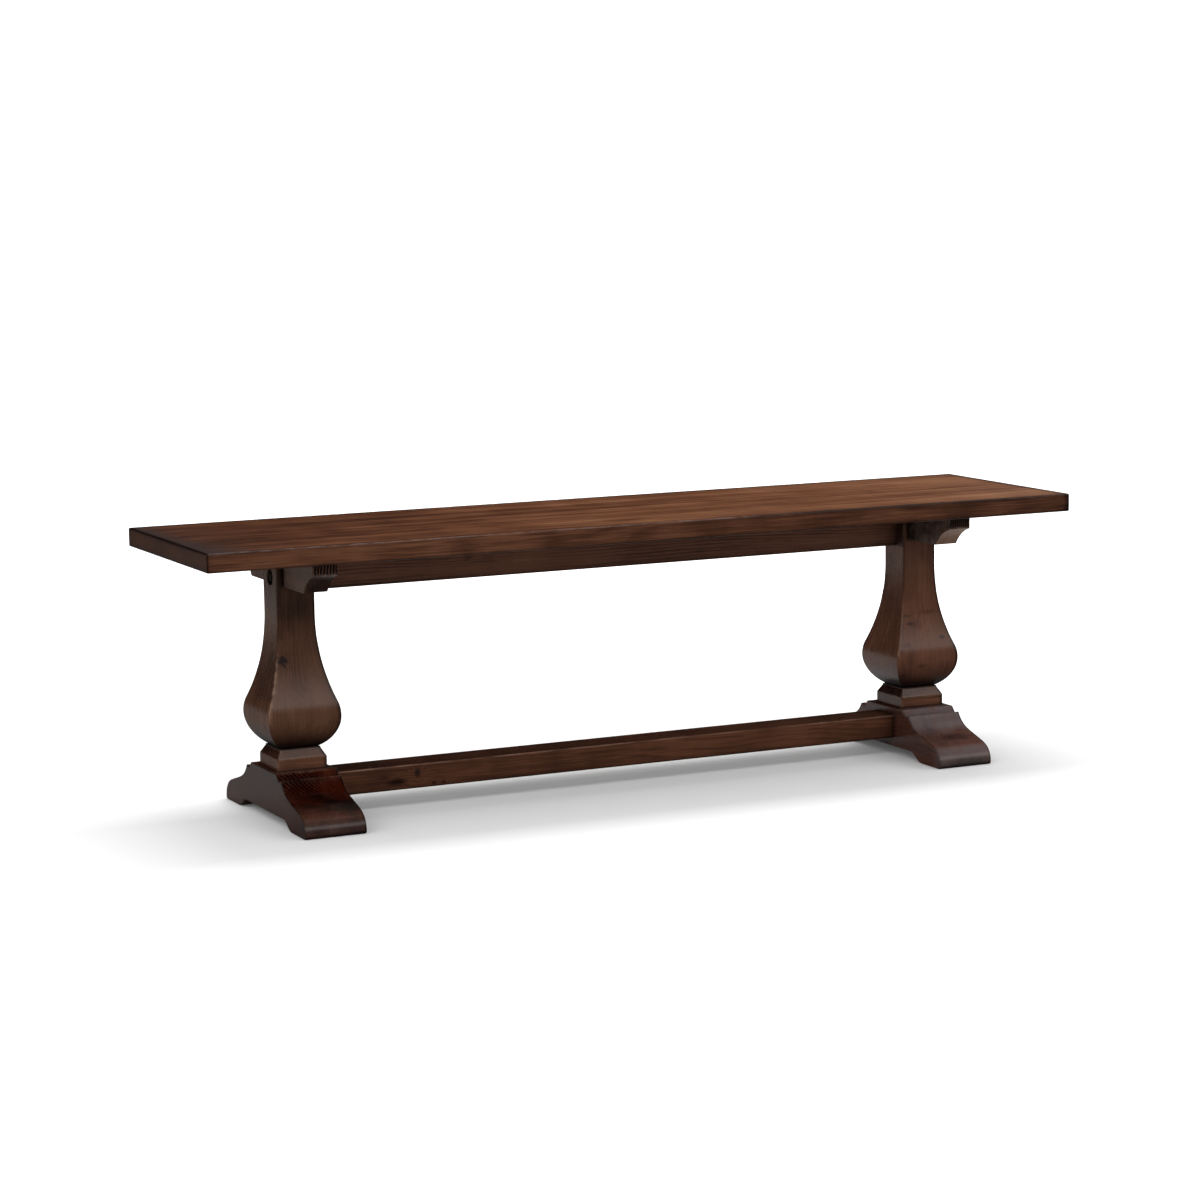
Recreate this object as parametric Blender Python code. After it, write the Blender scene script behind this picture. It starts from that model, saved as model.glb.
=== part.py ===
"""Trestle dining bench: a plank seat on two square vase posts, each on a collar
block and a shaped foot, tied by an apron rail under the seat and by a lower
stretcher between the feet.  Metres, +Z up, origin on the floor under the middle
of the seat, +X along the seat, -Y towards the front.
"""
import math

import bmesh
import bpy
from mathutils import Matrix, Vector

# ---------------------------------------------------------------- dimensions
GAP = 0.0003                 # clearance kept between touching pieces

SEAT_LENGTH = 1.546
SEAT_DEPTH = 0.386
SEAT_THICK = 0.0304
SEAT_HEIGHT = 0.457          # floor to the top of the seat
BOARD_COUNT = 3              # edge-glued boards
SEAT_EASE = 0.0022           # rounding of the seat's outer arrises

POST_X = 0.57275             # post axis, either side of the middle
NECK_HALF = 0.0317           # straight neck of the post, half its width
NECK_Z = 0.330               # the neck starts to flare below this height
SHOULDER_Z = 0.190           # the flare meets the round belly here
BELLY_Z = 0.168              # widest point of the belly
BELLY_R = 0.060              # belly arc
BELLY_PAD = 0.0013           # added to the arc all over
POST_FOOT_Z = 0.1160         # underside of the post

COLLAR_HALF = 0.0416
COLLAR_Z0 = 0.0823           # top of the foot
COLLAR_BAND_Z = 0.1008       # top of the collar's upright band
COLLAR_FILLET_HALF = 0.0342
COLLAR_FILLET_Z = 0.1136     # the chamfer ends here, under a thin upright fillet
COLLAR_TOP_Z = POST_FOOT_Z - GAP

FOOT_HALF_X = 0.0511
FOOT_HALF_Y = 0.1837
FOOT_TOP_HALF = 0.0590       # flat top, half its length
QUIRK_Y, QUIRK_Z = 0.0685, 0.0715
LEDGE_Y, LEDGE_Z = 0.0795, 0.0750
COVE_END = (0.120, 0.0473)
NOSE_START = (0.156, 0.0370)
TOE_ROUND = 0.0035
ARCH_Z = 0.0150              # underside of the foot between its two pads
ARCH_FLAT_HALF = 0.086
PAD_START = 0.124            # the pads run from here to the toes

BEARER_HALF_X = 0.0202
BEARER_HALF_Y = 0.161
BEARER_Z0 = 0.3750
BEARER_END_Z = 0.4052        # lower edge of the bearer's upright end
BEARER_BOTTOM_HALF = 0.118
BEARER_SAG = 0.005           # hollow of the coved end
SLOT_Z = BEARER_Z0 - GAP     # floor of the bridle slot in the post

APRON_HALF_Y = 0.00975
APRON_Z0 = 0.3633
STRETCHER_HALF_Y = 0.0318
STRETCHER_Z0, STRETCHER_Z1 = 0.0304, 0.0701
RAIL_EASE = 0.0018

TENON_LENGTH = 0.028
TENON_HALF_Y = 0.022
TENON_Z0, TENON_Z1 = 0.038, 0.062

BOLT_Z = 0.3875              # apron bolt
BOLT_R = 0.004
BOLT_SINK_R, BOLT_SINK_DEPTH = 0.0127, 0.0080
BOLT_HEAD_FLATS, BOLT_HEAD_H = 0.013, 0.0053
BOLT_LENGTH = 0.100
WASHER_R, WASHER_T = 0.011, 0.0016
NUT_R, NUT_SET = 0.005, 0.036          # barrel nut: radius, distance from the rail's end
NUT_Y0, NUT_Y1 = -0.0055, 0.0092
RAIL_DOWEL_R, RAIL_DOWEL_Z = 0.004, (0.412, 0.373)
RAIL_DOWEL_X0, RAIL_DOWEL_X1 = 0.0222, 0.0530

POST_BOLT_R = 0.005
POST_BOLT_SINK_R, POST_BOLT_SINK_Z = 0.014, 0.035
POST_BOLT_HEAD_FLATS, POST_BOLT_HEAD_H = 0.016, 0.0064
POST_BOLT_TOP = 0.165
POST_WASHER_R, POST_WASHER_T = 0.012, 0.0020
INSERT_R, INSERT_BORE_R = 0.007, 0.0053
INSERT_Z0, INSERT_Z1 = 0.1172, 0.1422
POST_DOWEL_R, POST_DOWEL_Y = 0.005, 0.021
POST_DOWEL_Z0, POST_DOWEL_Z1 = 0.059, 0.140

SCREW_R, SCREW_HEAD_R, SCREW_HEAD_H = 0.0022, 0.0046, 0.0030
SEAT_SCREW_Y = (-0.105, -0.050, 0.050, 0.105)
SEAT_SCREW_SINK, SEAT_SCREW_LENGTH = 0.010, 0.060
APRON_SCREW_X = (-0.300, 0.0, 0.300)
APRON_SCREW_SINK, APRON_SCREW_LENGTH = 0.025, 0.060
LOCK_SCREW_X, LOCK_SCREW_Y = 0.0365, 0.012
LOCK_SCREW_LENGTH = 0.042

SEAT_Z0 = SEAT_HEIGHT - SEAT_THICK
UNDER_SEAT = SEAT_Z0 - GAP             # top of everything that carries the seat

WOOD_TOP = (0.115, 0.062, 0.040, 1.0)
WOOD_BASE = (0.070, 0.036, 0.024, 1.0)
DOWEL_WOOD = (0.56, 0.40, 0.24, 1.0)
ZINC = (0.55, 0.55, 0.56, 1.0)
BRONZED = (0.050, 0.036, 0.030, 1.0)
BRASS = (0.62, 0.45, 0.18, 1.0)


# ------------------------------------------------------------------- helpers
def clear_scene():
    for obj in list(bpy.data.objects):
        bpy.data.objects.remove(obj, do_unlink=True)


def bezier(p0, p1, p2, p3, count):
    """Points of a cubic curve, both ends included."""
    points = []
    for i in range(count + 1):
        t = i / count
        u = 1.0 - t
        points.append(tuple(
            u * u * u * a + 3 * u * u * t * b + 3 * u * t * t * c + t * t * t * d
            for a, b, c, d in zip(p0, p1, p2, p3)))
    return points


def sagged_arc(a, b, sag, count):
    """Circular arc from a to b, bowed to the left of that direction by sag."""
    ax, ay = a
    bx, by = b
    dx, dy = bx - ax, by - ay
    chord = math.hypot(dx, dy)
    radius = (chord * chord / 4.0 + sag * sag) / (2.0 * sag)
    nx, ny = -dy / chord, dx / chord
    cx, cy = (ax + bx) / 2 - nx * (radius - sag), (ay + by) / 2 - ny * (radius - sag)
    half = math.asin(chord / 2.0 / radius)
    ux, uy = dx / chord, dy / chord
    points = []
    for i in range(count + 1):
        angle = -half + 2.0 * half * i / count
        points.append((cx + radius * (math.sin(angle) * ux + math.cos(angle) * nx),
                       cy + radius * (math.sin(angle) * uy + math.cos(angle) * ny)))
    points[0], points[-1] = a, b
    return points


def mesh_from(bm, name):
    bmesh.ops.recalc_face_normals(bm, faces=bm.faces)
    mesh = bpy.data.meshes.new(name)
    bm.to_mesh(mesh)
    bm.free()
    return mesh


def box(name, low, high, ease=0.0, eased=None):
    """A box; the edges that eased(middle, direction) picks are rounded by ease."""
    bm = bmesh.new()
    bmesh.ops.create_cube(bm, size=1.0)
    low, high = Vector(low), Vector(high)
    for v in bm.verts:
        v.co = Vector(l + (h - l) * (c + 0.5) for l, h, c in zip(low, high, v.co))
    if ease:
        picked = []
        for e in bm.edges:
            a, b = e.verts
            if eased is None or eased((a.co + b.co) / 2, (b.co - a.co).normalized()):
                picked.append(e)
        bmesh.ops.bevel(bm, geom=picked, offset=ease, segments=2, profile=0.5,
                        affect="EDGES", clamp_overlap=True)
    return mesh_from(bm, name)


def extruded(name, outline, x0, x1):
    """A (y, z) outline pulled along X from x0 to x1."""
    bm = bmesh.new()
    face = bm.faces.new([bm.verts.new((x0, y, z)) for y, z in outline])
    pulled = bmesh.ops.extrude_face_region(bm, geom=[face])
    bmesh.ops.translate(bm, vec=(x1 - x0, 0, 0),
                        verts=[g for g in pulled["geom"] if isinstance(g, bmesh.types.BMVert)])
    return mesh_from(bm, name)


def square_loft(name, stations):
    """A square-section upright solid through (z, half width) stations."""
    bm = bmesh.new()
    rings = [[bm.verts.new((sx * w, sy * w, z))
              for sx, sy in ((-1, -1), (1, -1), (1, 1), (-1, 1))] for z, w in stations]
    bm.faces.new(rings[0][::-1])
    bm.faces.new(rings[-1])
    for lower, upper in zip(rings, rings[1:]):
        for i in range(4):
            j = (i + 1) % 4
            bm.faces.new((lower[i], lower[j], upper[j], upper[i]))
    return mesh_from(bm, name)


AXIS_TURN = {"Z": Matrix.Identity(4),
             "X": Matrix.Rotation(math.pi / 2, 4, "Y"),
             "-X": Matrix.Rotation(-math.pi / 2, 4, "Y"),
             "Y": Matrix.Rotation(-math.pi / 2, 4, "X")}


def turned(name, profile, axis="Z", at=(0, 0, 0), sides=16, ring=False):
    """A round solid from a (radius, height) profile, or a ring from a closed one."""
    bm = bmesh.new()
    loops = []
    for r, h in profile:
        if r == 0.0:
            loops.append([bm.verts.new((0, 0, h))])
        else:
            loops.append([bm.verts.new((r * math.cos(2 * math.pi * (i + 0.5) / sides),
                                        r * math.sin(2 * math.pi * (i + 0.5) / sides), h))
                          for i in range(sides)])
    pairs = list(zip(loops, loops[1:]))
    if ring:
        pairs.append((loops[-1], loops[0]))
    for a, b in pairs:
        for i in range(sides):
            j = (i + 1) % sides
            if len(a) == 1:
                bm.faces.new((a[0], b[j], b[i]))
            elif len(b) == 1:
                bm.faces.new((a[i], a[j], b[0]))
            else:
                bm.faces.new((a[i], a[j], b[j], b[i]))
    bmesh.ops.transform(bm, matrix=Matrix.Translation(at) @ AXIS_TURN[axis], verts=bm.verts)
    return mesh_from(bm, name)


def rod(name, radius, h0, h1, axis="Z", at=(0, 0, 0), sides=16):
    return turned(name, [(0.0, h0), (radius, h0), (radius, h1), (0.0, h1)], axis, at, sides)


def combined(mesh, others, operation):
    """mesh with each of the others cut away from it or joined to it."""
    body = bpy.data.objects.new("work_body", mesh)
    bpy.context.scene.collection.objects.link(body)
    helpers = []
    for i, other in enumerate(others):
        helper = bpy.data.objects.new("work_helper_%d" % i, other)
        bpy.context.scene.collection.objects.link(helper)
        helper.hide_render = True
        helper.display_type = "WIRE"
        helpers.append(helper)
        step = body.modifiers.new("step_%d" % i, "BOOLEAN")
        step.object = helper
        step.operation = operation
        step.solver = "EXACT"
    bpy.context.view_layer.update()
    graph = bpy.context.evaluated_depsgraph_get()
    result = bpy.data.meshes.new_from_object(body.evaluated_get(graph))
    result.name = mesh.name
    for obj in [body] + helpers:
        bpy.data.objects.remove(obj, do_unlink=True)
    return result


def cut(mesh, cutters):
    return combined(mesh, cutters, "DIFFERENCE")


def hex_bolt(name, shank_r, head_flats, head_h, length, axis, at):
    """Head underside at 0, shank running up to length."""
    shank = turned(name, [(0.0, -head_h * 0.5), (shank_r, -head_h * 0.5),
                          (shank_r, length - shank_r * 0.4),
                          (shank_r * 0.7, length), (0.0, length)], sides=16)
    head_r = head_flats / math.sqrt(3.0)
    head = turned(name + "_head", [(0.0, -head_h), (head_r * 0.88, -head_h),
                                   (head_r, -head_h * 0.82), (head_r, 0.0), (0.0, 0.0)], sides=6)
    whole = combined(shank, [head], "UNION")
    whole.transform(Matrix.Translation(at) @ AXIS_TURN[axis])
    return whole


def wood_screw(name, length, at):
    """Countersunk screw standing on its head at its own zero, point upwards."""
    return turned(name, [(0.0, 0.0), (SCREW_HEAD_R, 0.0), (SCREW_HEAD_R, 0.0004),
                         (SCREW_R, SCREW_HEAD_H), (SCREW_R, length - 0.006),
                         (0.0004, length), (0.0, length)], "Z", at, 12)


def screw_hole(name, mouth_z, sink, tip_z, at_x, at_y):
    """Hole for a screw whose head sits sink above mouth_z and whose point is at tip_z."""
    r, hr = SCREW_R + GAP, SCREW_HEAD_R + 0.0006
    seat_z = mouth_z + sink
    return turned(name, [(0.0, mouth_z - 0.002), (hr, mouth_z - 0.002), (hr, seat_z + 0.0008),
                         (r, seat_z + SCREW_HEAD_H + 0.0008), (r, tip_z + 0.001),
                         (0.0, tip_z + 0.001)], "Z", (at_x, at_y, 0), 12)


def wood_material(name, colour, roughness):
    material = bpy.data.materials.new(name)
    material.use_nodes = True
    shader = material.node_tree.nodes["Principled BSDF"]
    shader.inputs["Base Color"].default_value = colour
    shader.inputs["Roughness"].default_value = roughness
    shader.inputs["Metallic"].default_value = 0.0
    material.diffuse_color = colour
    return material


def metal_material(name, colour, roughness):
    material = wood_material(name, colour, roughness)
    material.node_tree.nodes["Principled BSDF"].inputs["Metallic"].default_value = 1.0
    return material


def empty(name, location, turn, parent=None):
    holder = bpy.data.objects.new(name, None)
    holder.location = location
    holder.rotation_euler = (0, 0, turn)
    holder.parent = parent
    bpy.context.scene.collection.objects.link(holder)
    return holder


def place(name, mesh, material, parent, location=(0, 0, 0), round_piece=False):
    mesh = mesh.copy()
    mesh.name = name
    mesh.materials.clear()
    mesh.materials.append(material(name))
    if round_piece:
        mesh.shade_smooth()
        mesh.set_sharp_from_angle(angle=math.radians(35))
    obj = bpy.data.objects.new(name, mesh)
    obj.location = location
    obj.parent = parent
    bpy.context.scene.collection.objects.link(obj)
    return obj


def seat_wood(name):
    return wood_material(name + "_wood", WOOD_TOP, 0.42)


def base_wood(name):
    return wood_material(name + "_wood", WOOD_BASE, 0.45)


def dowel_wood(name):
    return wood_material(name + "_beech", DOWEL_WOOD, 0.7)


def zinc(name):
    return metal_material(name + "_zinc", ZINC, 0.38)


def bronzed(name):
    return metal_material(name + "_bronzed", BRONZED, 0.42)


def brass(name):
    return metal_material(name + "_brass", BRASS, 0.35)


# ------------------------------------------------------------------ profiles
def post_half_width(z):
    """Half width of the vase post at height z: neck, flare, round belly."""
    if z >= NECK_Z:
        return NECK_HALF
    if z <= SHOULDER_Z:
        return math.sqrt(BELLY_R ** 2 - (z - BELLY_Z) ** 2) + BELLY_PAD
    shoulder = math.sqrt(BELLY_R ** 2 - (SHOULDER_Z - BELLY_Z) ** 2)
    slope = -(SHOULDER_Z - BELLY_Z) / shoulder
    run = NECK_Z - SHOULDER_Z
    t = (z - SHOULDER_Z) / run
    return ((1 - 3 * t * t + 2 * t ** 3) * (shoulder + BELLY_PAD)
            + (t - 2 * t * t + t ** 3) * slope * run
            + (3 * t * t - 2 * t ** 3) * NECK_HALF)


def post_stations():
    """Heights close together round the belly and wider apart along the neck."""
    heights = []
    rise = math.asin((POST_FOOT_Z - BELLY_Z) / BELLY_R)
    top = math.asin((SHOULDER_Z - BELLY_Z) / BELLY_R)
    for i in range(13):
        heights.append(BELLY_Z + BELLY_R * math.sin(rise + (top - rise) * i / 12))
    for i in range(1, 10):
        heights.append(SHOULDER_Z + (NECK_Z - SHOULDER_Z) * i / 9)
    heights.append(UNDER_SEAT)
    return [(z, post_half_width(z)) for z in heights]


def foot_outline():
    """Half outline from the middle of the top to the middle of the arch, then its mirror."""
    half = [(FOOT_TOP_HALF, COLLAR_Z0 - GAP), (QUIRK_Y, QUIRK_Z)]
    half += bezier((LEDGE_Y, LEDGE_Z), (0.088, 0.060), (0.100, 0.053), COVE_END, 7)
    half += bezier(NOSE_START, (0.172, 0.0324), (FOOT_HALF_Y, 0.022), (FOOT_HALF_Y, TOE_ROUND), 7)
    half += [(FOOT_HALF_Y - TOE_ROUND * 0.29, TOE_ROUND * 0.29), (FOOT_HALF_Y - TOE_ROUND, 0.0)]
    half += bezier((PAD_START, 0.0), (0.106, 0.0), (0.101, ARCH_Z), (ARCH_FLAT_HALF, ARCH_Z), 7)
    return half + [(-y, z) for y, z in reversed(half)]


def bearer_outline():
    cove = sagged_arc((BEARER_BOTTOM_HALF, BEARER_Z0), (BEARER_HALF_Y, BEARER_END_Z), BEARER_SAG, 8)
    half = cove + [(BEARER_HALF_Y, UNDER_SEAT)]
    return half + [(-y, z) for y, z in reversed(half)]


# --------------------------------------------------------------------- seat
def make_seat(bench):
    width = (SEAT_DEPTH - (BOARD_COUNT - 1) * GAP) / BOARD_COUNT
    names = ("seat_board_front", "seat_board_middle", "seat_board_back")
    for i, name in enumerate(names):
        y0 = -SEAT_DEPTH / 2 + i * (width + GAP)
        y1 = y0 + width

        def outer(middle, direction):
            at_end = abs(middle.x) > SEAT_LENGTH / 2 - 1e-5
            at_side = abs(middle.y) > SEAT_DEPTH / 2 - 1e-5
            return at_side if abs(direction.x) > 0.5 or abs(direction.z) > 0.5 else at_end

        mesh = box(name, (-SEAT_LENGTH / 2, y0, SEAT_Z0), (SEAT_LENGTH / 2, y1, SEAT_HEIGHT),
                   SEAT_EASE, outer)
        holes = []
        for side in (-1, 1):
            for y in SEAT_SCREW_Y:
                if y0 < y < y1:
                    tip = BEARER_Z0 + SEAT_SCREW_SINK + SEAT_SCREW_LENGTH
                    holes.append(rod("hole", SCREW_R + GAP, SEAT_Z0 - 0.002, tip + 0.001, "Z",
                                     (side * POST_X, y, 0), 12))
        if y0 < 0.0 < y1:
            for x in APRON_SCREW_X:
                tip = APRON_Z0 + APRON_SCREW_SINK + APRON_SCREW_LENGTH
                holes.append(rod("hole", SCREW_R + GAP, SEAT_Z0 - 0.002, tip + 0.001, "Z",
                                 (x, 0, 0), 12))
        place(name, cut(mesh, holes), seat_wood, bench)


# ----------------------------------------------------------- rails along X
def make_rails(bench):
    end = POST_X - NECK_HALF - GAP

    def long_edge(middle, direction):
        return abs(direction.x) > 0.5

    apron = box("apron_rail", (-end, -APRON_HALF_Y, APRON_Z0), (end, APRON_HALF_Y, UNDER_SEAT),
                RAIL_EASE, lambda m, d: abs(d.x) > 0.5 and m.z < APRON_Z0 + 0.001)
    cutters = []
    for side in (-1, 1):
        axis = "X" if side < 0 else "-X"
        cutters.append(rod("bore", BOLT_R + 0.0004, -0.004, NUT_SET + 0.015, axis,
                           (side * end, 0, BOLT_Z), 16))
        cutters.append(rod("nut_bore", NUT_R + GAP, NUT_Y0 - GAP, APRON_HALF_Y + 0.004, "Y",
                           (side * (end - NUT_SET), 0, BOLT_Z), 16))
        for z in RAIL_DOWEL_Z:
            depth = RAIL_DOWEL_X1 - NECK_HALF - GAP + 0.001
            cutters.append(rod("dowel_bore", RAIL_DOWEL_R + GAP, -0.004, depth, axis,
                               (side * end, 0, z), 12))
    for x in APRON_SCREW_X:
        cutters.append(screw_hole("hole", APRON_Z0, APRON_SCREW_SINK, UNDER_SEAT + 0.002, x, 0))
    place("apron_rail", cut(apron, cutters), base_wood, bench)

    end = POST_X - FOOT_HALF_X - GAP
    beam = box("lower_stretcher", (-end, -STRETCHER_HALF_Y, STRETCHER_Z0),
               (end, STRETCHER_HALF_Y, STRETCHER_Z1), RAIL_EASE, long_edge)
    tenons = []
    for side in (-1, 1):
        xs = sorted((side * (end - 0.010), side * (end + TENON_LENGTH)))
        tenons.append(box("tenon", (xs[0], -TENON_HALF_Y, TENON_Z0),
                          (xs[1], TENON_HALF_Y, TENON_Z1)))
    beam = combined(beam, tenons, "UNION")
    holes = []
    for side in (-1, 1):
        for y in (-LOCK_SCREW_Y, LOCK_SCREW_Y):
            holes.append(rod("hole", SCREW_R + GAP, TENON_Z0 - 0.003,
                             ARCH_Z + 0.0006 + LOCK_SCREW_LENGTH + 0.001, "Z",
                             (side * (POST_X - LOCK_SCREW_X), y, 0), 12))
    place("lower_stretcher", cut(beam, holes), base_wood, bench)

    for x, where in zip(APRON_SCREW_X, ("left", "middle", "right")):
        place("apron_screw_" + where,
              wood_screw("screw", APRON_SCREW_LENGTH, (0, 0, 0)), zinc, bench,
              (x, 0, APRON_Z0 + APRON_SCREW_SINK), True)


# ------------------------------------------------- one end, outer side at -X
def make_end_meshes():
    meshes = {}

    foot = extruded("foot", foot_outline(), -FOOT_HALF_X, FOOT_HALF_X)
    cutters = [
        turned("bolt_bore", [(0.0, 0.005), (POST_BOLT_SINK_R, 0.005),
                             (POST_BOLT_SINK_R, POST_BOLT_SINK_Z),
                             (POST_BOLT_R + 0.0005, POST_BOLT_SINK_Z),
                             (POST_BOLT_R + 0.0005, 0.100), (0.0, 0.100)], sides=16),
        box("mortise", (FOOT_HALF_X - TENON_LENGTH - 2 * GAP, -TENON_HALF_Y - GAP, TENON_Z0 - GAP),
            (FOOT_HALF_X + 0.010, TENON_HALF_Y + GAP, TENON_Z1 + GAP))]
    for y in (-POST_DOWEL_Y, POST_DOWEL_Y):
        cutters.append(rod("dowel_bore", POST_DOWEL_R + GAP, POST_DOWEL_Z0 - 0.001, 0.100, "Z",
                           (0, y, 0), 12))
    for y in (-LOCK_SCREW_Y, LOCK_SCREW_Y):
        cutters.append(screw_hole("hole", ARCH_Z, 0.0006, TENON_Z0 + 0.004, LOCK_SCREW_X, y))
    meshes["foot"] = cut(foot, cutters)

    collar = square_loft("collar", [(COLLAR_Z0, COLLAR_HALF), (COLLAR_BAND_Z, COLLAR_HALF),
                                    (COLLAR_FILLET_Z, COLLAR_FILLET_HALF),
                                    (COLLAR_TOP_Z, COLLAR_FILLET_HALF)])
    cutters = [rod("bore", POST_BOLT_R + 0.0005, 0.070, 0.130, "Z", (0, 0, 0), 16)]
    for y in (-POST_DOWEL_Y, POST_DOWEL_Y):
        cutters.append(rod("bore", POST_DOWEL_R + GAP, 0.070, 0.130, "Z", (0, y, 0), 12))
    meshes["collar"] = cut(collar, cutters)

    post = square_loft("post", post_stations())
    cutters = [
        box("slot", (-BEARER_HALF_X - GAP, -0.050, SLOT_Z),
            (BEARER_HALF_X + GAP, 0.050, UNDER_SEAT + 0.010)),
        turned("bolt_bore", [(0.0, -0.010), (BOLT_SINK_R, -0.010), (BOLT_SINK_R, BOLT_SINK_DEPTH),
                             (BOLT_R + 0.0004, BOLT_SINK_DEPTH), (BOLT_R + 0.0004, 0.080),
                             (0.0, 0.080)], "X", (-NECK_HALF, 0, BOLT_Z), 24),
        turned("insert_bore", [(0.0, 0.100), (INSERT_R + GAP, 0.100),
                               (INSERT_R + GAP, INSERT_Z1 + 0.001),
                               (POST_BOLT_R + 0.0005, INSERT_Z1 + 0.001),
                               (POST_BOLT_R + 0.0005, POST_BOLT_TOP + 0.006),
                               (0.0, POST_BOLT_TOP + 0.006)], sides=16)]
    for y in (-POST_DOWEL_Y, POST_DOWEL_Y):
        cutters.append(rod("bore", POST_DOWEL_R + GAP, 0.100, POST_DOWEL_Z1 + 0.001, "Z",
                           (0, y, 0), 12))
    for z in RAIL_DOWEL_Z:
        cutters.append(rod("bore", RAIL_DOWEL_R + GAP, RAIL_DOWEL_X0 - GAP, 0.050, "X",
                           (0, 0, z), 12))
    meshes["post"] = cut(post, cutters)

    bearer = extruded("bearer", bearer_outline(), -BEARER_HALF_X, BEARER_HALF_X)
    cutters = [rod("bore", BOLT_R + 0.0004, -0.050, 0.050, "X", (0, 0, BOLT_Z), 16)]
    for y in SEAT_SCREW_Y:
        cutters.append(screw_hole("hole", BEARER_Z0, SEAT_SCREW_SINK, UNDER_SEAT + 0.002, 0, y))
    meshes["bearer"] = cut(bearer, cutters)

    sunk = -NECK_HALF + BOLT_SINK_DEPTH - GAP
    meshes["apron_bolt"] = hex_bolt("apron_bolt", BOLT_R, BOLT_HEAD_FLATS, BOLT_HEAD_H,
                                    BOLT_LENGTH, "X", (sunk - WASHER_T - GAP, 0, BOLT_Z))
    meshes["apron_bolt_washer"] = turned(
        "washer", [(BOLT_R + 0.0004, 0.0), (WASHER_R, 0.0), (WASHER_R, WASHER_T),
                   (BOLT_R + 0.0004, WASHER_T)], "X", (sunk - WASHER_T, 0, BOLT_Z), 20, True)
    meshes["rail_dowel"] = rod("rail_dowel", RAIL_DOWEL_R, RAIL_DOWEL_X0, RAIL_DOWEL_X1, "X",
                               (0, 0, 0), 12)

    washer_top = POST_BOLT_SINK_Z - GAP
    head_top = washer_top - POST_WASHER_T - GAP
    meshes["post_bolt"] = hex_bolt("post_bolt", POST_BOLT_R, POST_BOLT_HEAD_FLATS,
                                   POST_BOLT_HEAD_H, POST_BOLT_TOP - head_top, "Z",
                                   (0, 0, head_top))
    meshes["post_bolt_washer"] = turned(
        "washer", [(POST_BOLT_R + 0.0004, washer_top - POST_WASHER_T),
                   (POST_WASHER_R, washer_top - POST_WASHER_T), (POST_WASHER_R, washer_top),
                   (POST_BOLT_R + 0.0004, washer_top)], "Z", (0, 0, 0), 20, True)
    meshes["post_threaded_insert"] = turned(
        "insert", [(INSERT_BORE_R, INSERT_Z0), (INSERT_R, INSERT_Z0), (INSERT_R, INSERT_Z1),
                   (INSERT_BORE_R, INSERT_Z1)], "Z", (0, 0, 0), 16, True)
    meshes["post_dowel"] = rod("post_dowel", POST_DOWEL_R, POST_DOWEL_Z0, POST_DOWEL_Z1, "Z",
                               (0, 0, 0), 12)
    meshes["seat_screw"] = wood_screw("seat_screw", SEAT_SCREW_LENGTH, (0, 0, 0))
    meshes["lock_screw"] = wood_screw("lock_screw", LOCK_SCREW_LENGTH, (0, 0, 0))

    nut = rod("barrel_nut", NUT_R, NUT_Y0, NUT_Y1, "Y", (0, 0, 0), 16)
    meshes["barrel_nut"] = cut(nut, [rod("thread", BOLT_R + GAP, -0.010, 0.010, "X", (0, 0, 0), 16)])
    return meshes


def make_end(bench, meshes, where):
    left = where == "left"
    end = empty("end_" + where, (-POST_X if left else POST_X, 0, 0), 0.0 if left else math.pi, bench)
    front_first = 1 if left else -1      # turning the end round swaps front and back

    place("foot_" + where, meshes["foot"], base_wood, end)
    place("collar_block_" + where, meshes["collar"], base_wood, end)
    place("post_" + where, meshes["post"], base_wood, end)
    place("cross_bearer_" + where, meshes["bearer"], base_wood, end)

    place("apron_bolt_" + where, meshes["apron_bolt"], bronzed, end, round_piece=True)
    place("apron_bolt_washer_" + where, meshes["apron_bolt_washer"], bronzed, end, round_piece=True)
    for z, level in zip(RAIL_DOWEL_Z, ("upper", "lower")):
        place("apron_dowel_%s_%s" % (level, where), meshes["rail_dowel"], dowel_wood, end,
              (0, 0, z), True)
    nut_x = POST_X - NECK_HALF - GAP - NUT_SET
    place("apron_barrel_nut_" + where, meshes["barrel_nut"], zinc, bench,
          (-nut_x if left else nut_x, 0, BOLT_Z), True)

    place("post_bolt_" + where, meshes["post_bolt"], zinc, end, round_piece=True)
    place("post_bolt_washer_" + where, meshes["post_bolt_washer"], zinc, end, round_piece=True)
    place("post_threaded_insert_" + where, meshes["post_threaded_insert"], brass, end,
          round_piece=True)
    for sign, side in ((-1, "front"), (1, "back")):
        y = sign * front_first
        place("post_dowel_%s_%s" % (side, where), meshes["post_dowel"], dowel_wood, end,
              (0, y * POST_DOWEL_Y, 0), True)
        place("stretcher_screw_%s_%s" % (side, where), meshes["lock_screw"], zinc, end,
              (LOCK_SCREW_X, y * LOCK_SCREW_Y, ARCH_Z + 0.0006), True)
    for y, spot in zip(SEAT_SCREW_Y, ("front_outer", "front_inner", "back_inner", "back_outer")):
        place("seat_screw_%s_%s" % (spot, where), meshes["seat_screw"], zinc, end,
              (0, y * front_first, BEARER_Z0 + SEAT_SCREW_SINK), True)


def main():
    clear_scene()
    bench = empty("bench", (0, 0, 0), 0.0)
    make_seat(bench)
    make_rails(bench)
    meshes = make_end_meshes()
    make_end(bench, meshes, "left")
    make_end(bench, meshes, "right")


main()
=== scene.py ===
import math

import bmesh
import bpy
import numpy as np
from mathutils import Matrix, Vector


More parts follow.
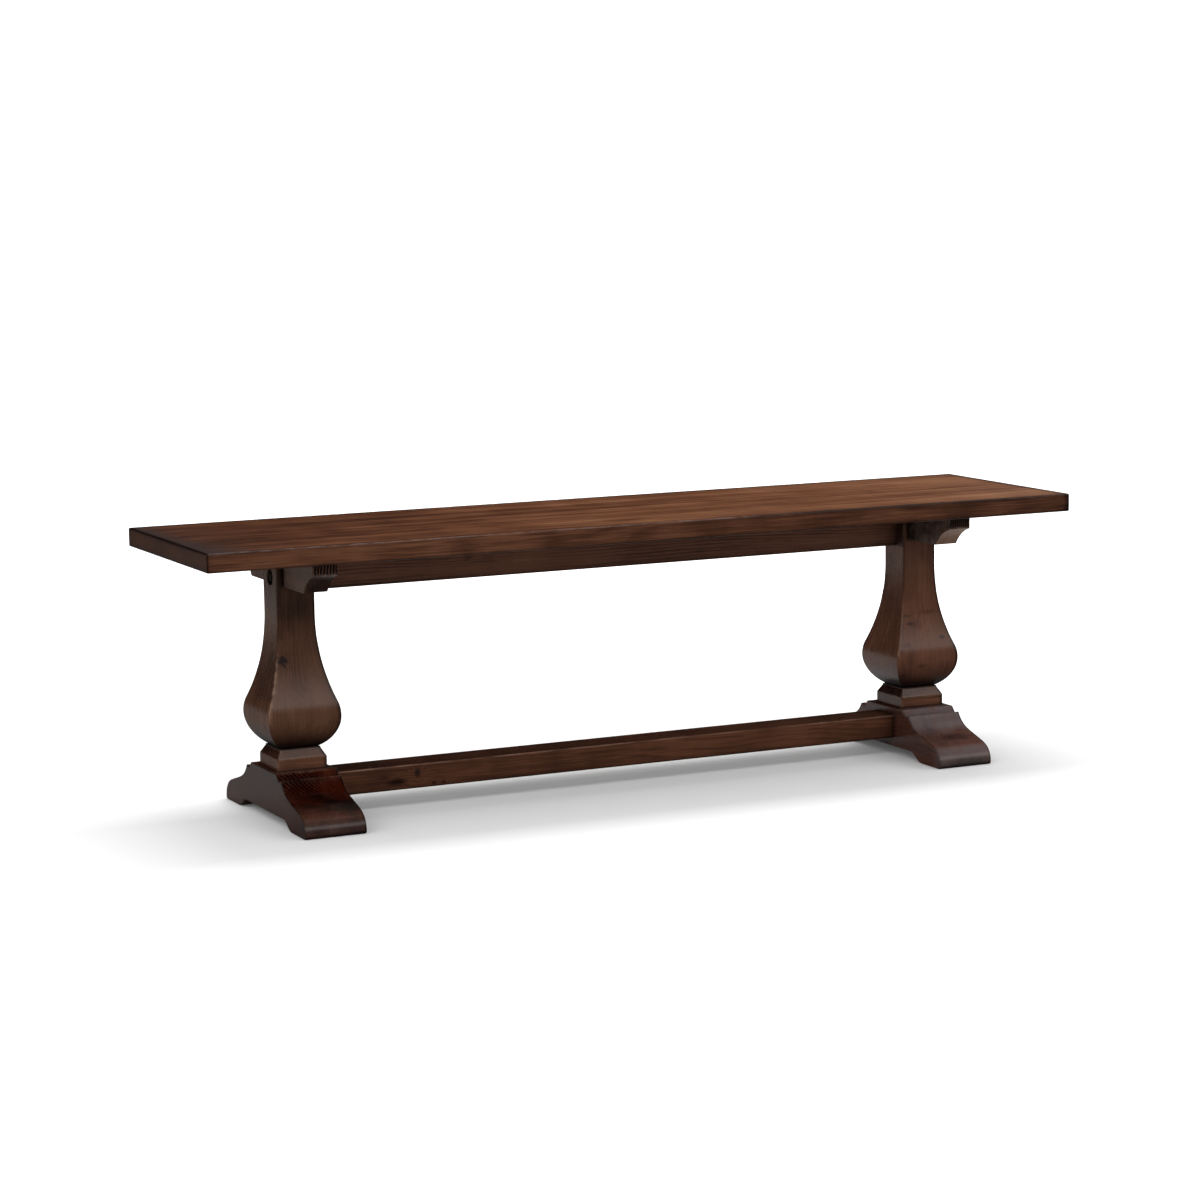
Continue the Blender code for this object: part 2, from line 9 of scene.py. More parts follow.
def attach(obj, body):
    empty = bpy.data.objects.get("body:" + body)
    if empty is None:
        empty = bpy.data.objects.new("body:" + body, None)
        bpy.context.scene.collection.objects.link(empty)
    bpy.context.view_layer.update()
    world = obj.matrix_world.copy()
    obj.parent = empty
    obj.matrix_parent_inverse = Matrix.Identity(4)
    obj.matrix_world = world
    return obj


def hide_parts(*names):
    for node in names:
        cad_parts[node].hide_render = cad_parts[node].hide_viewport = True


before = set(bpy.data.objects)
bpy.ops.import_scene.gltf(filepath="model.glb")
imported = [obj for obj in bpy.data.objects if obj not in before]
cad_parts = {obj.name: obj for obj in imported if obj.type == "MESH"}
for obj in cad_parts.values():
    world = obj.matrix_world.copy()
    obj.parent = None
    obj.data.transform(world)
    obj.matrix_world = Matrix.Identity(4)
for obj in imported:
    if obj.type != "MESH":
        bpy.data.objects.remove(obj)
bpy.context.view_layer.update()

# ---------------------------------------------------------------- dimensions
GAP = 0.0003
SEAT_HALF_X, SEAT_HALF_Y = 0.773, 0.193
SEAT_Z0, SEAT_Z1 = 0.4266, 0.457
UNDER_SEAT = SEAT_Z0 - GAP
BOARD_WIDTH = (2 * SEAT_HALF_Y - 2 * GAP) / 3

POST_X = 0.57275
NECK_HALF, NECK_Z = 0.0317, 0.330
SHOULDER_Z, BELLY_Z, BELLY_R, BELLY_PAD = 0.190, 0.168, 0.060, 0.0013
POST_FOOT_Z = 0.1160

COLLAR_HALF, COLLAR_Z0, COLLAR_BAND_Z = 0.0416, 0.0823, 0.1008
COLLAR_FILLET_HALF, COLLAR_FILLET_Z = 0.0342, 0.1136
COLLAR_TOP_Z = POST_FOOT_Z - GAP

FOOT_HALF_X, FOOT_HALF_Y, FOOT_TOP_HALF = 0.0511, 0.1837, 0.0590
QUIRK, LEDGE = (0.0685, 0.0715), (0.0795, 0.0750)
COVE_END, NOSE_START = (0.120, 0.0473), (0.156, 0.0370)
ARCH_Z, ARCH_FLAT_HALF, PAD_START = 0.0150, 0.086, 0.124

BEARER_HALF_X, BEARER_HALF_Y = 0.0202, 0.161
BEARER_Z0, BEARER_END_Z, BEARER_BOTTOM_HALF, BEARER_SAG = 0.3750, 0.4052, 0.118, 0.005
SLOT_Z = BEARER_Z0 - GAP

APRON_HALF_Y, APRON_Z0 = 0.00975, 0.3633
STRETCHER_HALF_Y, STRETCHER_Z0, STRETCHER_Z1 = 0.0318, 0.0304, 0.0701
TENON_LENGTH, TENON_HALF_Y, TENON_Z0, TENON_Z1 = 0.028, 0.022, 0.038, 0.062

BOLT_Z, BOLT_R = 0.3875, 0.004
BOLT_SINK_R, BOLT_SINK_DEPTH = 0.0127, 0.0080
NUT_R, NUT_SET, NUT_Y0 = 0.005, 0.036, -0.0055
RAIL_DOWEL_R, RAIL_DOWEL_Z = 0.004, (0.412, 0.373)
RAIL_DOWEL_X0, RAIL_DOWEL_X1 = 0.0222, 0.0530
POST_BOLT_R, POST_BOLT_SINK_R, POST_BOLT_SINK_Z, POST_BOLT_TOP = 0.005, 0.014, 0.035, 0.165
INSERT_R, INSERT_Z1 = 0.007, 0.1422
POST_DOWEL_R, POST_DOWEL_Y, POST_DOWEL_Z0, POST_DOWEL_Z1 = 0.005, 0.021, 0.059, 0.140
SCREW_R, SCREW_HEAD_R, SCREW_HEAD_H = 0.0022, 0.0046, 0.0030
SEAT_SCREW_Y = (-0.105, -0.050, 0.050, 0.105)
SEAT_SCREW_TIP = BEARER_Z0 + 0.010 + 0.060
APRON_SCREW_X = (-0.300, 0.0, 0.300)
APRON_SCREW_TIP = APRON_Z0 + 0.025 + 0.060
LOCK_SCREW_X, LOCK_SCREW_Y = 0.0365, 0.012

RNG = np.random.default_rng(41)


# -------------------------------------------------------------- mesh helpers
def bezier(p0, p1, p2, p3, count):
    out = []
    for i in range(count + 1):
        t = i / count
        u = 1 - t
        out.append(tuple(u ** 3 * a + 3 * u * u * t * b + 3 * u * t * t * c + t ** 3 * d
                         for a, b, c, d in zip(p0, p1, p2, p3)))
    return out


def sagged_arc(a, b, sag, count):
    (ax, ay), (bx, by) = a, b
    dx, dy = bx - ax, by - ay
    chord = math.hypot(dx, dy)
    radius = (chord * chord / 4 + sag * sag) / (2 * sag)
    nx, ny, ux, uy = -dy / chord, dx / chord, dx / chord, dy / chord
    cx, cy = (ax + bx) / 2 - nx * (radius - sag), (ay + by) / 2 - ny * (radius - sag)
    half = math.asin(chord / 2 / radius)
    return [(cx + radius * (math.sin(t) * ux + math.cos(t) * nx),
             cy + radius * (math.sin(t) * uy + math.cos(t) * ny))
            for t in (-half + 2 * half * i / count for i in range(count + 1))]


def eased(before, corner, after, radius, count=5):
    """The corner of an outline as a small arc between the lines to its neighbours."""
    c = Vector(corner)
    u, v = (Vector(before) - c).normalized(), (Vector(after) - c).normalized()
    half = u.angle(v) / 2
    back = min(radius / math.tan(half), 0.45 * (Vector(before) - c).length,
               0.45 * (Vector(after) - c).length)
    r = back * math.tan(half)
    centre = c + (u + v).normalized() * (r / math.sin(half))
    a, b = c + u * back - centre, c + v * back - centre
    turn = a.angle_signed(b)
    out = []
    for i in range(count + 1):
        t = -turn * i / count
        out.append((centre.x + a.x * math.cos(t) - a.y * math.sin(t),
                    centre.y + a.x * math.sin(t) + a.y * math.cos(t)))
    return out


def mirrored(half):
    return half + [(-y, z) for y, z in reversed(half)]


def to_mesh(bm, name):
    bmesh.ops.recalc_face_normals(bm, faces=bm.faces)
    mesh = bpy.data.meshes.new(name)
    bm.to_mesh(mesh)
    bm.free()
    return mesh


def block(low, high):
    bm = bmesh.new()
    bmesh.ops.create_cube(bm, size=1.0)
    for v in bm.verts:
        v.co = Vector(l + (h - l) * (c + 0.5) for l, h, c in zip(low, high, v.co))
    return bm


def round_edges(bm, pick, radius, segments=4):
    edges = []
    for e in bm.edges:
        a, b = e.verts
        if pick((a.co + b.co) / 2, (b.co - a.co).normalized()):
            edges.append(e)
    bmesh.ops.bevel(bm, geom=edges, offset=radius, segments=segments, profile=0.5,
                    affect="EDGES", clamp_overlap=True)


def split_along(bm, axis, cuts, least):
    """Cuts every long edge that runs along an axis into equal lengths."""
    edges = []
    for e in bm.edges:
        d = e.verts[1].co - e.verts[0].co
        if abs(d[axis]) > least and abs(d[axis]) > 0.999 * d.length:
            edges.append(e)
    bmesh.ops.subdivide_edges(bm, edges=edges, cuts=cuts, use_grid_fill=True)


def slice_at(bm, axis, values):
    normal = Vector((0, 0, 0))
    normal[axis] = 1.0
    for v in values:
        bmesh.ops.bisect_plane(bm, geom=bm.verts[:] + bm.edges[:] + bm.faces[:], dist=2e-5,
                               plane_co=normal * v, plane_no=normal)


def spread(low, high, step):
    n = max(1, round((high - low) / step))
    return [low + (high - low) * i / n for i in range(1, n)]


def extruded(outline, half_x):
    """A (y, z) outline pulled along X, both of its side loops rounded later."""
    bm = bmesh.new()
    face = bm.faces.new([bm.verts.new((-half_x, y, z)) for y, z in outline])
    pulled = bmesh.ops.extrude_face_region(bm, geom=[face])
    bmesh.ops.translate(bm, vec=(2 * half_x, 0, 0),
                        verts=[g for g in pulled["geom"] if isinstance(g, bmesh.types.BMVert)])
    bmesh.ops.recalc_face_normals(bm, faces=bm.faces)
    return bm


def loft(stations, corner, side_cuts, arc=5):
    """Upright solid of rounded-square section through (z, half width) stations."""
    bm = bmesh.new()
    signs = ((-1, -1), (1, -1), (1, 1), (-1, 1))
    rings = []
    for z, w in stations:
        points = []
        for k, (sx, sy) in enumerate(signs):
            points.append([(sx * (w - corner) + corner * math.cos(a),
                            sy * (w - corner) + corner * math.sin(a))
                           for a in (math.pi + math.pi / 2 * (k + i / arc) for i in range(arc + 1))])
        ring = []
        for k in range(4):
            ring += points[k]
            (ax, ay), (bx, by) = points[k][-1], points[(k + 1) % 4][0]
            ring += [(ax + (bx - ax) * i / side_cuts, ay + (by - ay) * i / side_cuts)
                     for i in range(1, side_cuts)]
        rings.append([bm.verts.new((x, y, z)) for x, y in ring])
    bm.faces.new(rings[0][::-1])
    bm.faces.new(rings[-1])
    n = len(rings[0])
    for low, high in zip(rings, rings[1:]):
        for i in range(n):
            j = (i + 1) % n
            bm.faces.new((low[i], low[j], high[j], high[i]))
    return bm


TURN = {"Z": Matrix.Identity(4), "X": Matrix.Rotation(math.pi / 2, 4, "Y"),
        "-X": Matrix.Rotation(-math.pi / 2, 4, "Y"), "Y": Matrix.Rotation(-math.pi / 2, 4, "X")}


def turned(profile, axis="Z", at=(0, 0, 0), sides=40):
    """A closed round solid from a (radius, height) profile that starts and ends on the axis."""
    bm = bmesh.new()
    loops = []
    for r, h in profile:
        if r == 0:
            loops.append([bm.verts.new((0, 0, h))])
        else:
            loops.append([bm.verts.new((r * math.cos(2 * math.pi * i / sides),
                                        r * math.sin(2 * math.pi * i / sides), h))
                          for i in range(sides)])
    for a, b in zip(loops, loops[1:]):
        for i in range(sides):
            j = (i + 1) % sides
            if len(a) == 1:
                bm.faces.new((a[0], b[j], b[i]))
            elif len(b) == 1:
                bm.faces.new((a[i], a[j], b[0]))
            else:
                bm.faces.new((a[i], a[j], b[j], b[i]))
    bmesh.ops.transform(bm, matrix=Matrix.Translation(at) @ TURN[axis], verts=bm.verts)
    return to_mesh(bm, "cutter")


def hole(radius, h0, h1, axis="Z", at=(0, 0, 0), sides=32):
    return turned([(0, h0), (radius, h0), (radius, h1), (0, h1)], axis, at, sides)


def screw_hole(mouth_z, sink, tip_z, x, y):
    r, hr = SCREW_R + GAP, SCREW_HEAD_R + 0.0006
    seat = mouth_z + sink
    lip = 0.0005
    return turned([(0, mouth_z - 0.002), (hr + lip, mouth_z - 0.002), (hr + lip, mouth_z),
                   (hr, mouth_z + lip), (hr, seat + 0.0008), (r, seat + SCREW_HEAD_H + 0.0008),
                   (r, tip_z + 0.001), (0, tip_z + 0.001)], "Z", (x, y, 0), 32)


def combined(mesh, others, operation):
    body = bpy.data.objects.new("work_body", mesh)
    bpy.context.scene.collection.objects.link(body)
    helpers = []
    for i, other in enumerate(others):
        helper = bpy.data.objects.new("work_helper_%d" % i, other)
        bpy.context.scene.collection.objects.link(helper)
        helpers.append(helper)
        step = body.modifiers.new("step_%d" % i, "BOOLEAN")
        step.object, step.operation, step.solver = helper, operation, "EXACT"
    bpy.context.view_layer.update()
    graph = bpy.context.evaluated_depsgraph_get()
    result = bpy.data.meshes.new_from_object(body.evaluated_get(graph))
    for obj in [body] + helpers:
        bpy.data.objects.remove(obj, do_unlink=True)
    return result


def cut(mesh, cutters):
    return combined(mesh, cutters, "DIFFERENCE")


def coordinates(mesh):
    co = np.empty(len(mesh.vertices) * 3, np.float32)
    mesh.vertices.foreach_get("co", co)
    return co.reshape(-1, 3).astype(float)


def normals(mesh):
    no = np.empty(len(mesh.vertices) * 3, np.float32)
    mesh.vertex_normals.foreach_get("vector", no)
    return no.reshape(-1, 3).astype(float)


def set_coordinates(mesh, co):
    mesh.vertices.foreach_set("co", co.astype(np.float32).ravel())
    mesh.update()


def soft_noise(points, scale, seed):
    """Smooth value noise, -1 to 1, on an (n, 3) array."""
    p = points * scale + seed * 17.31
    i = np.floor(p).astype(np.int64)
    f = p - i
    f = f * f * (3 - 2 * f)

    def lattice(ix, iy, iz):
        h = (ix * 374761393 + iy * 668265263 + iz * 2147483647 + seed * 1274126177) & 0xFFFFFFFF
        h = ((h ^ (h >> 13)) * 1274126177) & 0xFFFFFFFF
        h = h ^ (h >> 16)
        return (h & 0xFFFF) / 32767.5 - 1.0

    total = 0.0
    for dx in (0, 1):
        for dy in (0, 1):
            for dz in (0, 1):
                w = (np.where(dx, f[:, 0], 1 - f[:, 0]) * np.where(dy, f[:, 1], 1 - f[:, 1])
                     * np.where(dz, f[:, 2], 1 - f[:, 2]))
                total = total + w * lattice(i[:, 0] + dx, i[:, 1] + dy, i[:, 2] + dz)
    return total


def mask(mesh, name, values):
    """A 0 to 1 value at each vertex, read by the finish."""
    layer = mesh.attributes.new(name, "FLOAT", "POINT")
    layer.data.foreach_set("value", np.clip(values, 0, 1).astype(np.float32))


def masked(mesh, name):
    out = np.empty(len(mesh.vertices), np.float32)
    mesh.attributes[name].data.foreach_get("value", out)
    return out


def remask(mesh, name, values):
    mesh.attributes[name].data.foreach_set("value", np.clip(values, 0, 1).astype(np.float32))


def near(distance, reach):
    return np.exp(-np.maximum(distance, 0) / reach)


def piece(name, mesh, material, replaced):
    mesh.name = name
    mesh.materials.clear()
    mesh.materials.append(material)
    mesh.shade_smooth()
    mesh.set_sharp_from_angle(angle=math.radians(38))
    obj = bpy.data.objects.new(name, mesh)
    bpy.context.scene.collection.objects.link(obj)
    even = obj.modifiers.new("even_normals", "WEIGHTED_NORMAL")
    even.keep_sharp = True
    even.weight = 60
    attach(obj, "root")
    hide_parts(replaced)
    return obj


# ------------------------------------------------------------------ finishes
class Tree:
    """A material's node tree, written as expressions."""

    def __init__(self, name):
        self.material = bpy.data.materials.new(name)
        self.material.use_nodes = True
        self.tree = self.material.node_tree
        self.tree.nodes.clear()
        out = self.node("ShaderNodeOutputMaterial")
        self.shader = self.node("ShaderNodeBsdfPrincipled")
        self.tree.links.new(self.shader.outputs[0], out.inputs["Surface"])

    def node(self, kind, **props):
        n = self.tree.nodes.new(kind)
        for k, v in props.items():
            setattr(n, k, v)
        return n

    def put(self, socket, value):
        if isinstance(value, bpy.types.NodeSocket):
            self.tree.links.new(value, socket)
        else:
            socket.default_value = value

    def math(self, operation, a, b=0.0, c=0.0, clamp=False):
        n = self.node("ShaderNodeMath", operation=operation, use_clamp=clamp)
        for socket, value in zip(n.inputs, (a, b, c)):
            self.put(socket, value)
        return n.outputs[0]

    def vector(self, operation, a, b=(0.0, 0.0, 0.0)):
        n = self.node("ShaderNodeVectorMath", operation=operation)
        self.put(n.inputs[0], a)
        if operation == "SCALE":
            self.put(n.inputs["Scale"], b)
        elif operation != "LENGTH":
            self.put(n.inputs[1], b)
        return n.outputs["Value"] if operation in ("LENGTH", "DOT_PRODUCT") else n.outputs["Vector"]

    def noise(self, vector, stretch, detail=2.0, roughness=0.5, distortion=0.0, colour=False):
        n = self.node("ShaderNodeTexNoise")
        self.put(n.inputs["Vector"], self.vector("MULTIPLY", vector, stretch))
        n.inputs["Scale"].default_value = 1.0
        n.inputs["Detail"].default_value = detail
        n.inputs["Roughness"].default_value = roughness
        n.inputs["Distortion"].default_value = distortion
        return n.outputs["Color" if colour else "Fac"]

    def ramp(self, value, stops, interpolation="LINEAR"):
        n = self.node("ShaderNodeValToRGB")
        n.color_ramp.interpolation = interpolation
        elements = n.color_ramp.elements
        while len(elements) < len(stops):
            elements.new(0.5)
        for e, (at, colour) in zip(elements, stops):
            e.position = at
            e.color = (*colour, 1.0) if hasattr(colour, "__len__") else (colour,) * 3 + (1.0,)
        self.put(n.inputs[0], value)
        return n.outputs["Color"]

    def mix(self, factor, a, b, blend="MIX"):
        n = self.node("ShaderNodeMix", data_type="RGBA", blend_type=blend, clamp_factor=True)
        self.put(n.inputs[0], factor)
        self.put(n.inputs[6], (*a, 1.0) if isinstance(a, tuple) else a)
        self.put(n.inputs[7], (*b, 1.0) if isinstance(b, tuple) else b)
        return n.outputs[2]

    def smooth(self, value, low, high):
        n = self.node("ShaderNodeMapRange", interpolation_type="SMOOTHSTEP")
        for name, v in (("Value", value), ("From Min", low), ("From Max", high),
                        ("To Min", 0.0), ("To Max", 1.0)):
            self.put(n.inputs[name], v)
        return n.outputs["Result"]

    def attribute(self, name):
        return self.node("ShaderNodeAttribute", attribute_name=name).outputs["Fac"]

    def centred(self, value, amount):
        return self.math("MULTIPLY", self.math("SUBTRACT", value, 0.5), amount)

    def total(self, *values):
        out = values[0]
        for v in values[1:]:
            out = self.math("ADD", out, v)
        return out


SEAT_TONES = ((0.0, (0.018, 0.0066, 0.0038)), (0.30, (0.048, 0.0172, 0.0080)),
              (0.52, (0.080, 0.0310, 0.0148)), (0.78, (0.118, 0.0510, 0.0248)),
              (1.0, (0.155, 0.0720, 0.0350)))
BASE_TONES = ((0.0, (0.017, 0.0078, 0.0054)), (0.30, (0.040, 0.0165, 0.0095)),
              (0.52, (0.068, 0.0280, 0.0150)), (0.78, (0.100, 0.0430, 0.0230)),
              (1.0, (0.135, 0.0620, 0.0350)))
FOOT_TONES = ((0.0, (0.016, 0.0066, 0.0048)), (0.30, (0.038, 0.0130, 0.0078)),
              (0.52, (0.064, 0.0215, 0.0118)), (0.78, (0.096, 0.0350, 0.0180)),
              (1.0, (0.130, 0.0540, 0.0290)))
ORDER = {"X": (0, 1, 2), "Y": (1, 2, 0), "Z": (2, 0, 1)}


def wood(name, grain, heart, seed, tones, ring=0.0045, tilt=(0.0, 0.0), streak=1.3, fibre=0.7,
         blotch=0.9, cross=0.5, lines=0.22, knots=(), marks=(), rough=0.30, abrasion_and_highlight=0.5,
         abrasion_and_highlight_tint=(0.185, 0.105, 0.066), end_lines=0.0, tint=(1.0, 1.0, 1.0), gloss=0.18,
         edge_breakup_scale=(70.0, 70.0, 70.0), deep=None, mid=0.0, shade=0.0, painted_sheen=None, stripes=None, hand=1.2,
         girth=None, calm=0.0):
    """Stained, lacquered wood cut from a log: growth rings about a heart line that runs along
    the grain, long streaks, fibres, pores, blotches of stain, painted shade in corners, under
    parts and along edges (partly dark stain), a painted sheen, and lighter arrises that are
    partly abraded finish and partly painted highlight.  heart is the heart line's place across the grain."""
    t = Tree(name)
    place = t.node("ShaderNodeTexCoord").outputs["Object"]
    split = t.node("ShaderNodeSeparateXYZ")
    t.put(split.inputs[0], place)
    join = t.node("ShaderNodeCombineXYZ")
    for socket, k in zip(join.inputs, ORDER[grain]):
        t.put(socket, split.outputs[k])
    along = split.outputs[ORDER[grain][0]]
    log = t.vector("SUBTRACT", join.outputs[0], (-seed * 3.17, heart[0], heart[1]))
    lean = t.node("ShaderNodeCombineXYZ")
    t.put(lean.inputs[1], t.math("MULTIPLY", along, tilt[0]))
    t.put(lean.inputs[2], t.math("MULTIPLY", along, tilt[1]))
    log = t.vector("ADD", log, lean.outputs[0])

    fine = log
    if girth is not None:
        # the fibres keep to the swelling outline
        squeeze = t.node("ShaderNodeCombineXYZ")
        squeeze.inputs[0].default_value = 1.0
        for k in (1, 2):
            t.put(squeeze.inputs[k], t.attribute("girth"))
        fine = t.vector("SUBTRACT", join.outputs[0], (-seed * 3.17, girth, 0.0))
        fine = t.vector("MULTIPLY", fine, squeeze.outputs[0])

    sway = t.noise(log, (2.3, 11.0, 11.0), 2.0, 0.5, colour=True)
    sway = t.vector("MULTIPLY", t.vector("SUBTRACT", sway, (0.5, 0.5, 0.5)), (0.0, 0.030, 0.030))
    bent = t.vector("ADD", log, sway)
    radius = t.vector("LENGTH", t.vector("MULTIPLY", bent, (0.0, 1.0, 1.0)))
    phase = t.math("DIVIDE", radius, ring)

    dark_spots = []
    for centre, size, strength, star in knots:
        off = t.vector("SUBTRACT", place, centre)
        off = t.vector("MULTIPLY", off, tuple(1.0 / s for s in size))
        ragged = t.noise(place, (260.0,) * 3, 2.0, 0.6)
        far = t.math("ADD", t.vector("LENGTH", off), t.centred(ragged, 0.9))
        if star:
            pull = t.noise(t.vector("NORMALIZE", off), (4.2,) * 3, 1.0, 0.5)
            far = t.math("ADD", far, t.centred(pull, star))
        core = t.math("SUBTRACT", 1.0, t.smooth(far, 0.45, 1.05))
        halo = t.math("EXPONENT", t.math("MULTIPLY", t.math("MULTIPLY", far, far), -0.22))
        phase = t.math("ADD", phase, t.math("MULTIPLY", halo, 2.2))
        dark_spots.append((core, halo, strength))

    width = t.noise(bent, (1.1, 30.0, 30.0), 2.0, 0.5)
    phase = t.math("ADD", phase, t.centred(width, 2.0))
    saw = t.math("FRACT", phase)
    late = t.ramp(saw, ((0.0, 0.10), (0.10, 0.0), (0.55, 0.20), (0.84, 0.85), (0.93, 1.0), (1.0, 0.10)))
    fade = t.noise(log, (3.0, 40.0, 40.0), 2.0, 0.5)
    late = t.math("MULTIPLY", late, t.smooth(fade, 0.30, 0.70))

    bands = t.noise(bent, (1.0, 30.0, 30.0), 3.0, 0.55)
    fibres = t.noise(fine, (11.0, 430.0, 430.0), 1.6, 0.55)
    hairs = t.noise(fine, (38.0, 1500.0, 1500.0), 1.0, 0.5)
    stain = t.noise(place, (9.0 + seed * 0.1,) * 3, 3.0, 0.55)
    figure = t.noise(log, (13.0, 3.0, 3.0), 2.0, 0.5)
    pores = t.smooth(t.noise(fine, (55.0, 1150.0, 1150.0), 1.0, 0.4), 0.60, 0.68)

    strips = t.centred(bands, streak)
    if mid:
        strips = t.math("ADD", strips, t.centred(t.noise(bent, (2.0, 100.0, 100.0), 2.0, 0.55), mid))
    if calm:
        strips = t.math("MULTIPLY", strips, t.math("SUBTRACT", 1.0, t.math("MULTIPLY", t.attribute("calm"), calm)))
    tone = t.total(0.52, strips, t.centred(fibres, fibre),
                   t.centred(hairs, 0.12), t.centred(stain, blotch), t.centred(figure, cross))
    if shade:
        tone = t.math("ADD", tone, t.centred(t.attribute("shade"), shade))
    tone = t.math("SUBTRACT", tone, t.math("MULTIPLY", late, lines))
    tone = t.math("SUBTRACT", tone, t.math("MULTIPLY", pores, 0.07), clamp=True)
    colour = t.ramp(tone, [(at, tuple(c * k for c, k in zip(rgb, tint))) for at, rgb in tones], "EASE")

    for core, halo, strength in dark_spots:
        colour = t.mix(t.math("MULTIPLY", halo, 0.45 * strength), colour, (0.55, 0.50, 0.48), "MULTIPLY")
        colour = t.mix(t.math("MULTIPLY", core, strength), colour, (0.0095, 0.0054, 0.0055))
    end_grain = t.attribute("end_grain")
    colour = t.mix(t.math("MULTIPLY", end_grain, 0.55), colour, (0.62, 0.58, 0.60), "MULTIPLY")
    if end_lines:
        bars = t.math("MULTIPLY", t.smooth(saw, 0.14, 0.32), t.math("SUBTRACT", 1.0, t.smooth(saw, 0.90, 0.99)))
        bars = t.math("MULTIPLY", bars, t.math("MULTIPLY", end_grain, end_lines))
        colour = t.mix(bars, colour, (0.045, 0.038, 0.036), "MULTIPLY")
    patchiness = t.noise(place, (55.0,) * 3, 3.0, 0.6)
    # darkening near edges, in coves, toward the bottoms and on the stretcher's top: painted shade, with some dark stain
    # along the seat's edges
    dark_stain_and_shade = t.math("MULTIPLY", t.attribute("dark_stain_and_shade"),
                   t.math("ADD", 0.45, t.math("MULTIPLY", patchiness, 1.1)), clamp=True)
    colour = t.mix(dark_stain_and_shade, colour, (0.30, 0.27, 0.29), "MULTIPLY")
    # painted sheen: the colour is mixed toward a given sheen colour where light would reflect
    if painted_sheen:
        sheen_amount = t.math("MULTIPLY", t.attribute("painted_sheen"), t.math("ADD", 0.35, t.math("MULTIPLY", patchiness, 1.3)), clamp=True)
        colour = t.mix(sheen_amount, colour, painted_sheen)
    for centre, size, strength, tint, *cloudy in marks:
        off = t.vector("MULTIPLY", t.vector("SUBTRACT", place, centre), tuple(1.0 / s for s in size))
        if cloudy:
            wisp = t.noise(place, (52.0,) * 3, 3.0, 0.55)
        else:
            wisp = t.noise(log, (30.0, 110.0, 110.0), 3.0, 0.6)
        far = t.math("ADD", t.vector("LENGTH", off), t.centred(wisp, 1.1))
        here = t.math("SUBTRACT", 1.0, t.smooth(far, 0.15, 1.15))
        colour = t.mix(t.math("MULTIPLY", here, strength), colour, tint, "MULTIPLY")
    # painted shade: darkening in corners, recesses, joints and on undersides
    painted_shade = t.attribute("painted_shade")
    colour = t.mix(painted_shade, colour, (0.22, 0.18, 0.17), "MULTIPLY")
    # dark edges: partly dark stain, partly painted shade on edges that turn from the light and on bottom edges
    edge_darkening = t.math("MULTIPLY", t.attribute("dark_edge"), t.math("ADD", 0.55, t.math("MULTIPLY", patchiness, 0.9)), clamp=True)
    colour = t.mix(edge_darkening, colour, (0.16, 0.13, 0.13), "MULTIPLY")
    if deep:
        pool = t.noise(log, (14.0, 70.0, 70.0), 3.0, 0.6)
        colour = t.mix(t.math("MULTIPLY", t.attribute("deep_stain"), t.math("ADD", 0.55, t.math("MULTIPLY", pool, 0.8)), clamp=True),
                       colour, deep, "MULTIPLY")
    if stripes:
        across, spacing = stripes
        count = t.math("DIVIDE", t.vector("DOT_PRODUCT", place, across), spacing)
        count = t.math("ADD", count, t.centred(t.noise(place, (30.0,) * 3, 2.0, 0.5), 1.0))
        bars = t.smooth(t.math("SINE", t.math("MULTIPLY", count, 2 * math.pi)), -0.25, 0.35)
        bars = t.math("MULTIPLY", bars, t.attribute("striped"))
        colour = t.mix(bars, colour, (0.10, 0.14, 0.17), "MULTIPLY")
    # lighter arrises: partly abraded finish, partly painted highlight
    edge_breakup = t.noise(place, edge_breakup_scale, 3.0, 0.65)
    abraded_and_lit_edges = t.math("MULTIPLY", t.attribute("arris"), t.smooth(edge_breakup, 0.36, 0.66))
    colour = t.mix(t.math("MULTIPLY", abraded_and_lit_edges, abrasion_and_highlight), colour, abrasion_and_highlight_tint)
    t.put(t.shader.inputs["Base Color"], colour)

    dull = t.total(rough, t.centred(fibres, 0.10), t.centred(stain, 0.12),
                   t.math("MULTIPLY", pores, 0.06), t.math("MULTIPLY", painted_shade, 0.25),
                   t.math("MULTIPLY", end_grain, 0.08))
    t.put(t.shader.inputs["Roughness"], t.math("MAXIMUM", dull, 0.13))
    t.shader.inputs["Specular IOR Level"].default_value = gloss

    height = t.total(t.math("MULTIPLY", fibres, 0.45), t.math("MULTIPLY", hairs, 0.14),
                     t.math("MULTIPLY", late, 0.12))
    height = t.math("SUBTRACT", height, t.math("MULTIPLY", pores, 0.22))
    height = t.math("ADD", height, t.math("MULTIPLY", t.noise(place, (36.0,) * 3, 2.0, 0.5), hand))
    bump = t.node("ShaderNodeBump")
    bump.inputs["Strength"].default_value = 0.15
    bump.inputs["Distance"].default_value = 0.0006
    t.put(bump.inputs["Height"], height)
    t.put(t.shader.inputs["Normal"], bump.outputs[0])
    return t.material


def metal(name, base, dark, rough, scale=140.0, bright=True):
    """Plated metal: cloudy plating, fine draw marks, darker patches."""
    t = Tree(name)
    place = t.node("ShaderNodeTexCoord").outputs["Object"]
    cloud = t.noise(place, (scale,) * 3, 3.0, 0.55)
    marks = t.noise(place, (scale * 14, scale * 2, scale * 2), 2.0, 0.6)
    colour = t.mix(t.smooth(cloud, 0.35, 0.72), base, dark)
    t.put(t.shader.inputs["Base Color"], colour)
    t.shader.inputs["Metallic"].default_value = 1.0 if bright else 0.0
    t.shader.inputs["Specular IOR Level"].default_value = 0.5 if bright else 0.06
    t.put(t.shader.inputs["Roughness"],
          t.total(rough, t.centred(cloud, 0.22), t.centred(marks, 0.12)))
    bump = t.node("ShaderNodeBump")
    bump.inputs["Strength"].default_value = 0.12
    bump.inputs["Distance"].default_value = 0.0002
    t.put(bump.inputs["Height"], marks)
    t.put(t.shader.inputs["Normal"], bump.outputs[0])
    return t.material


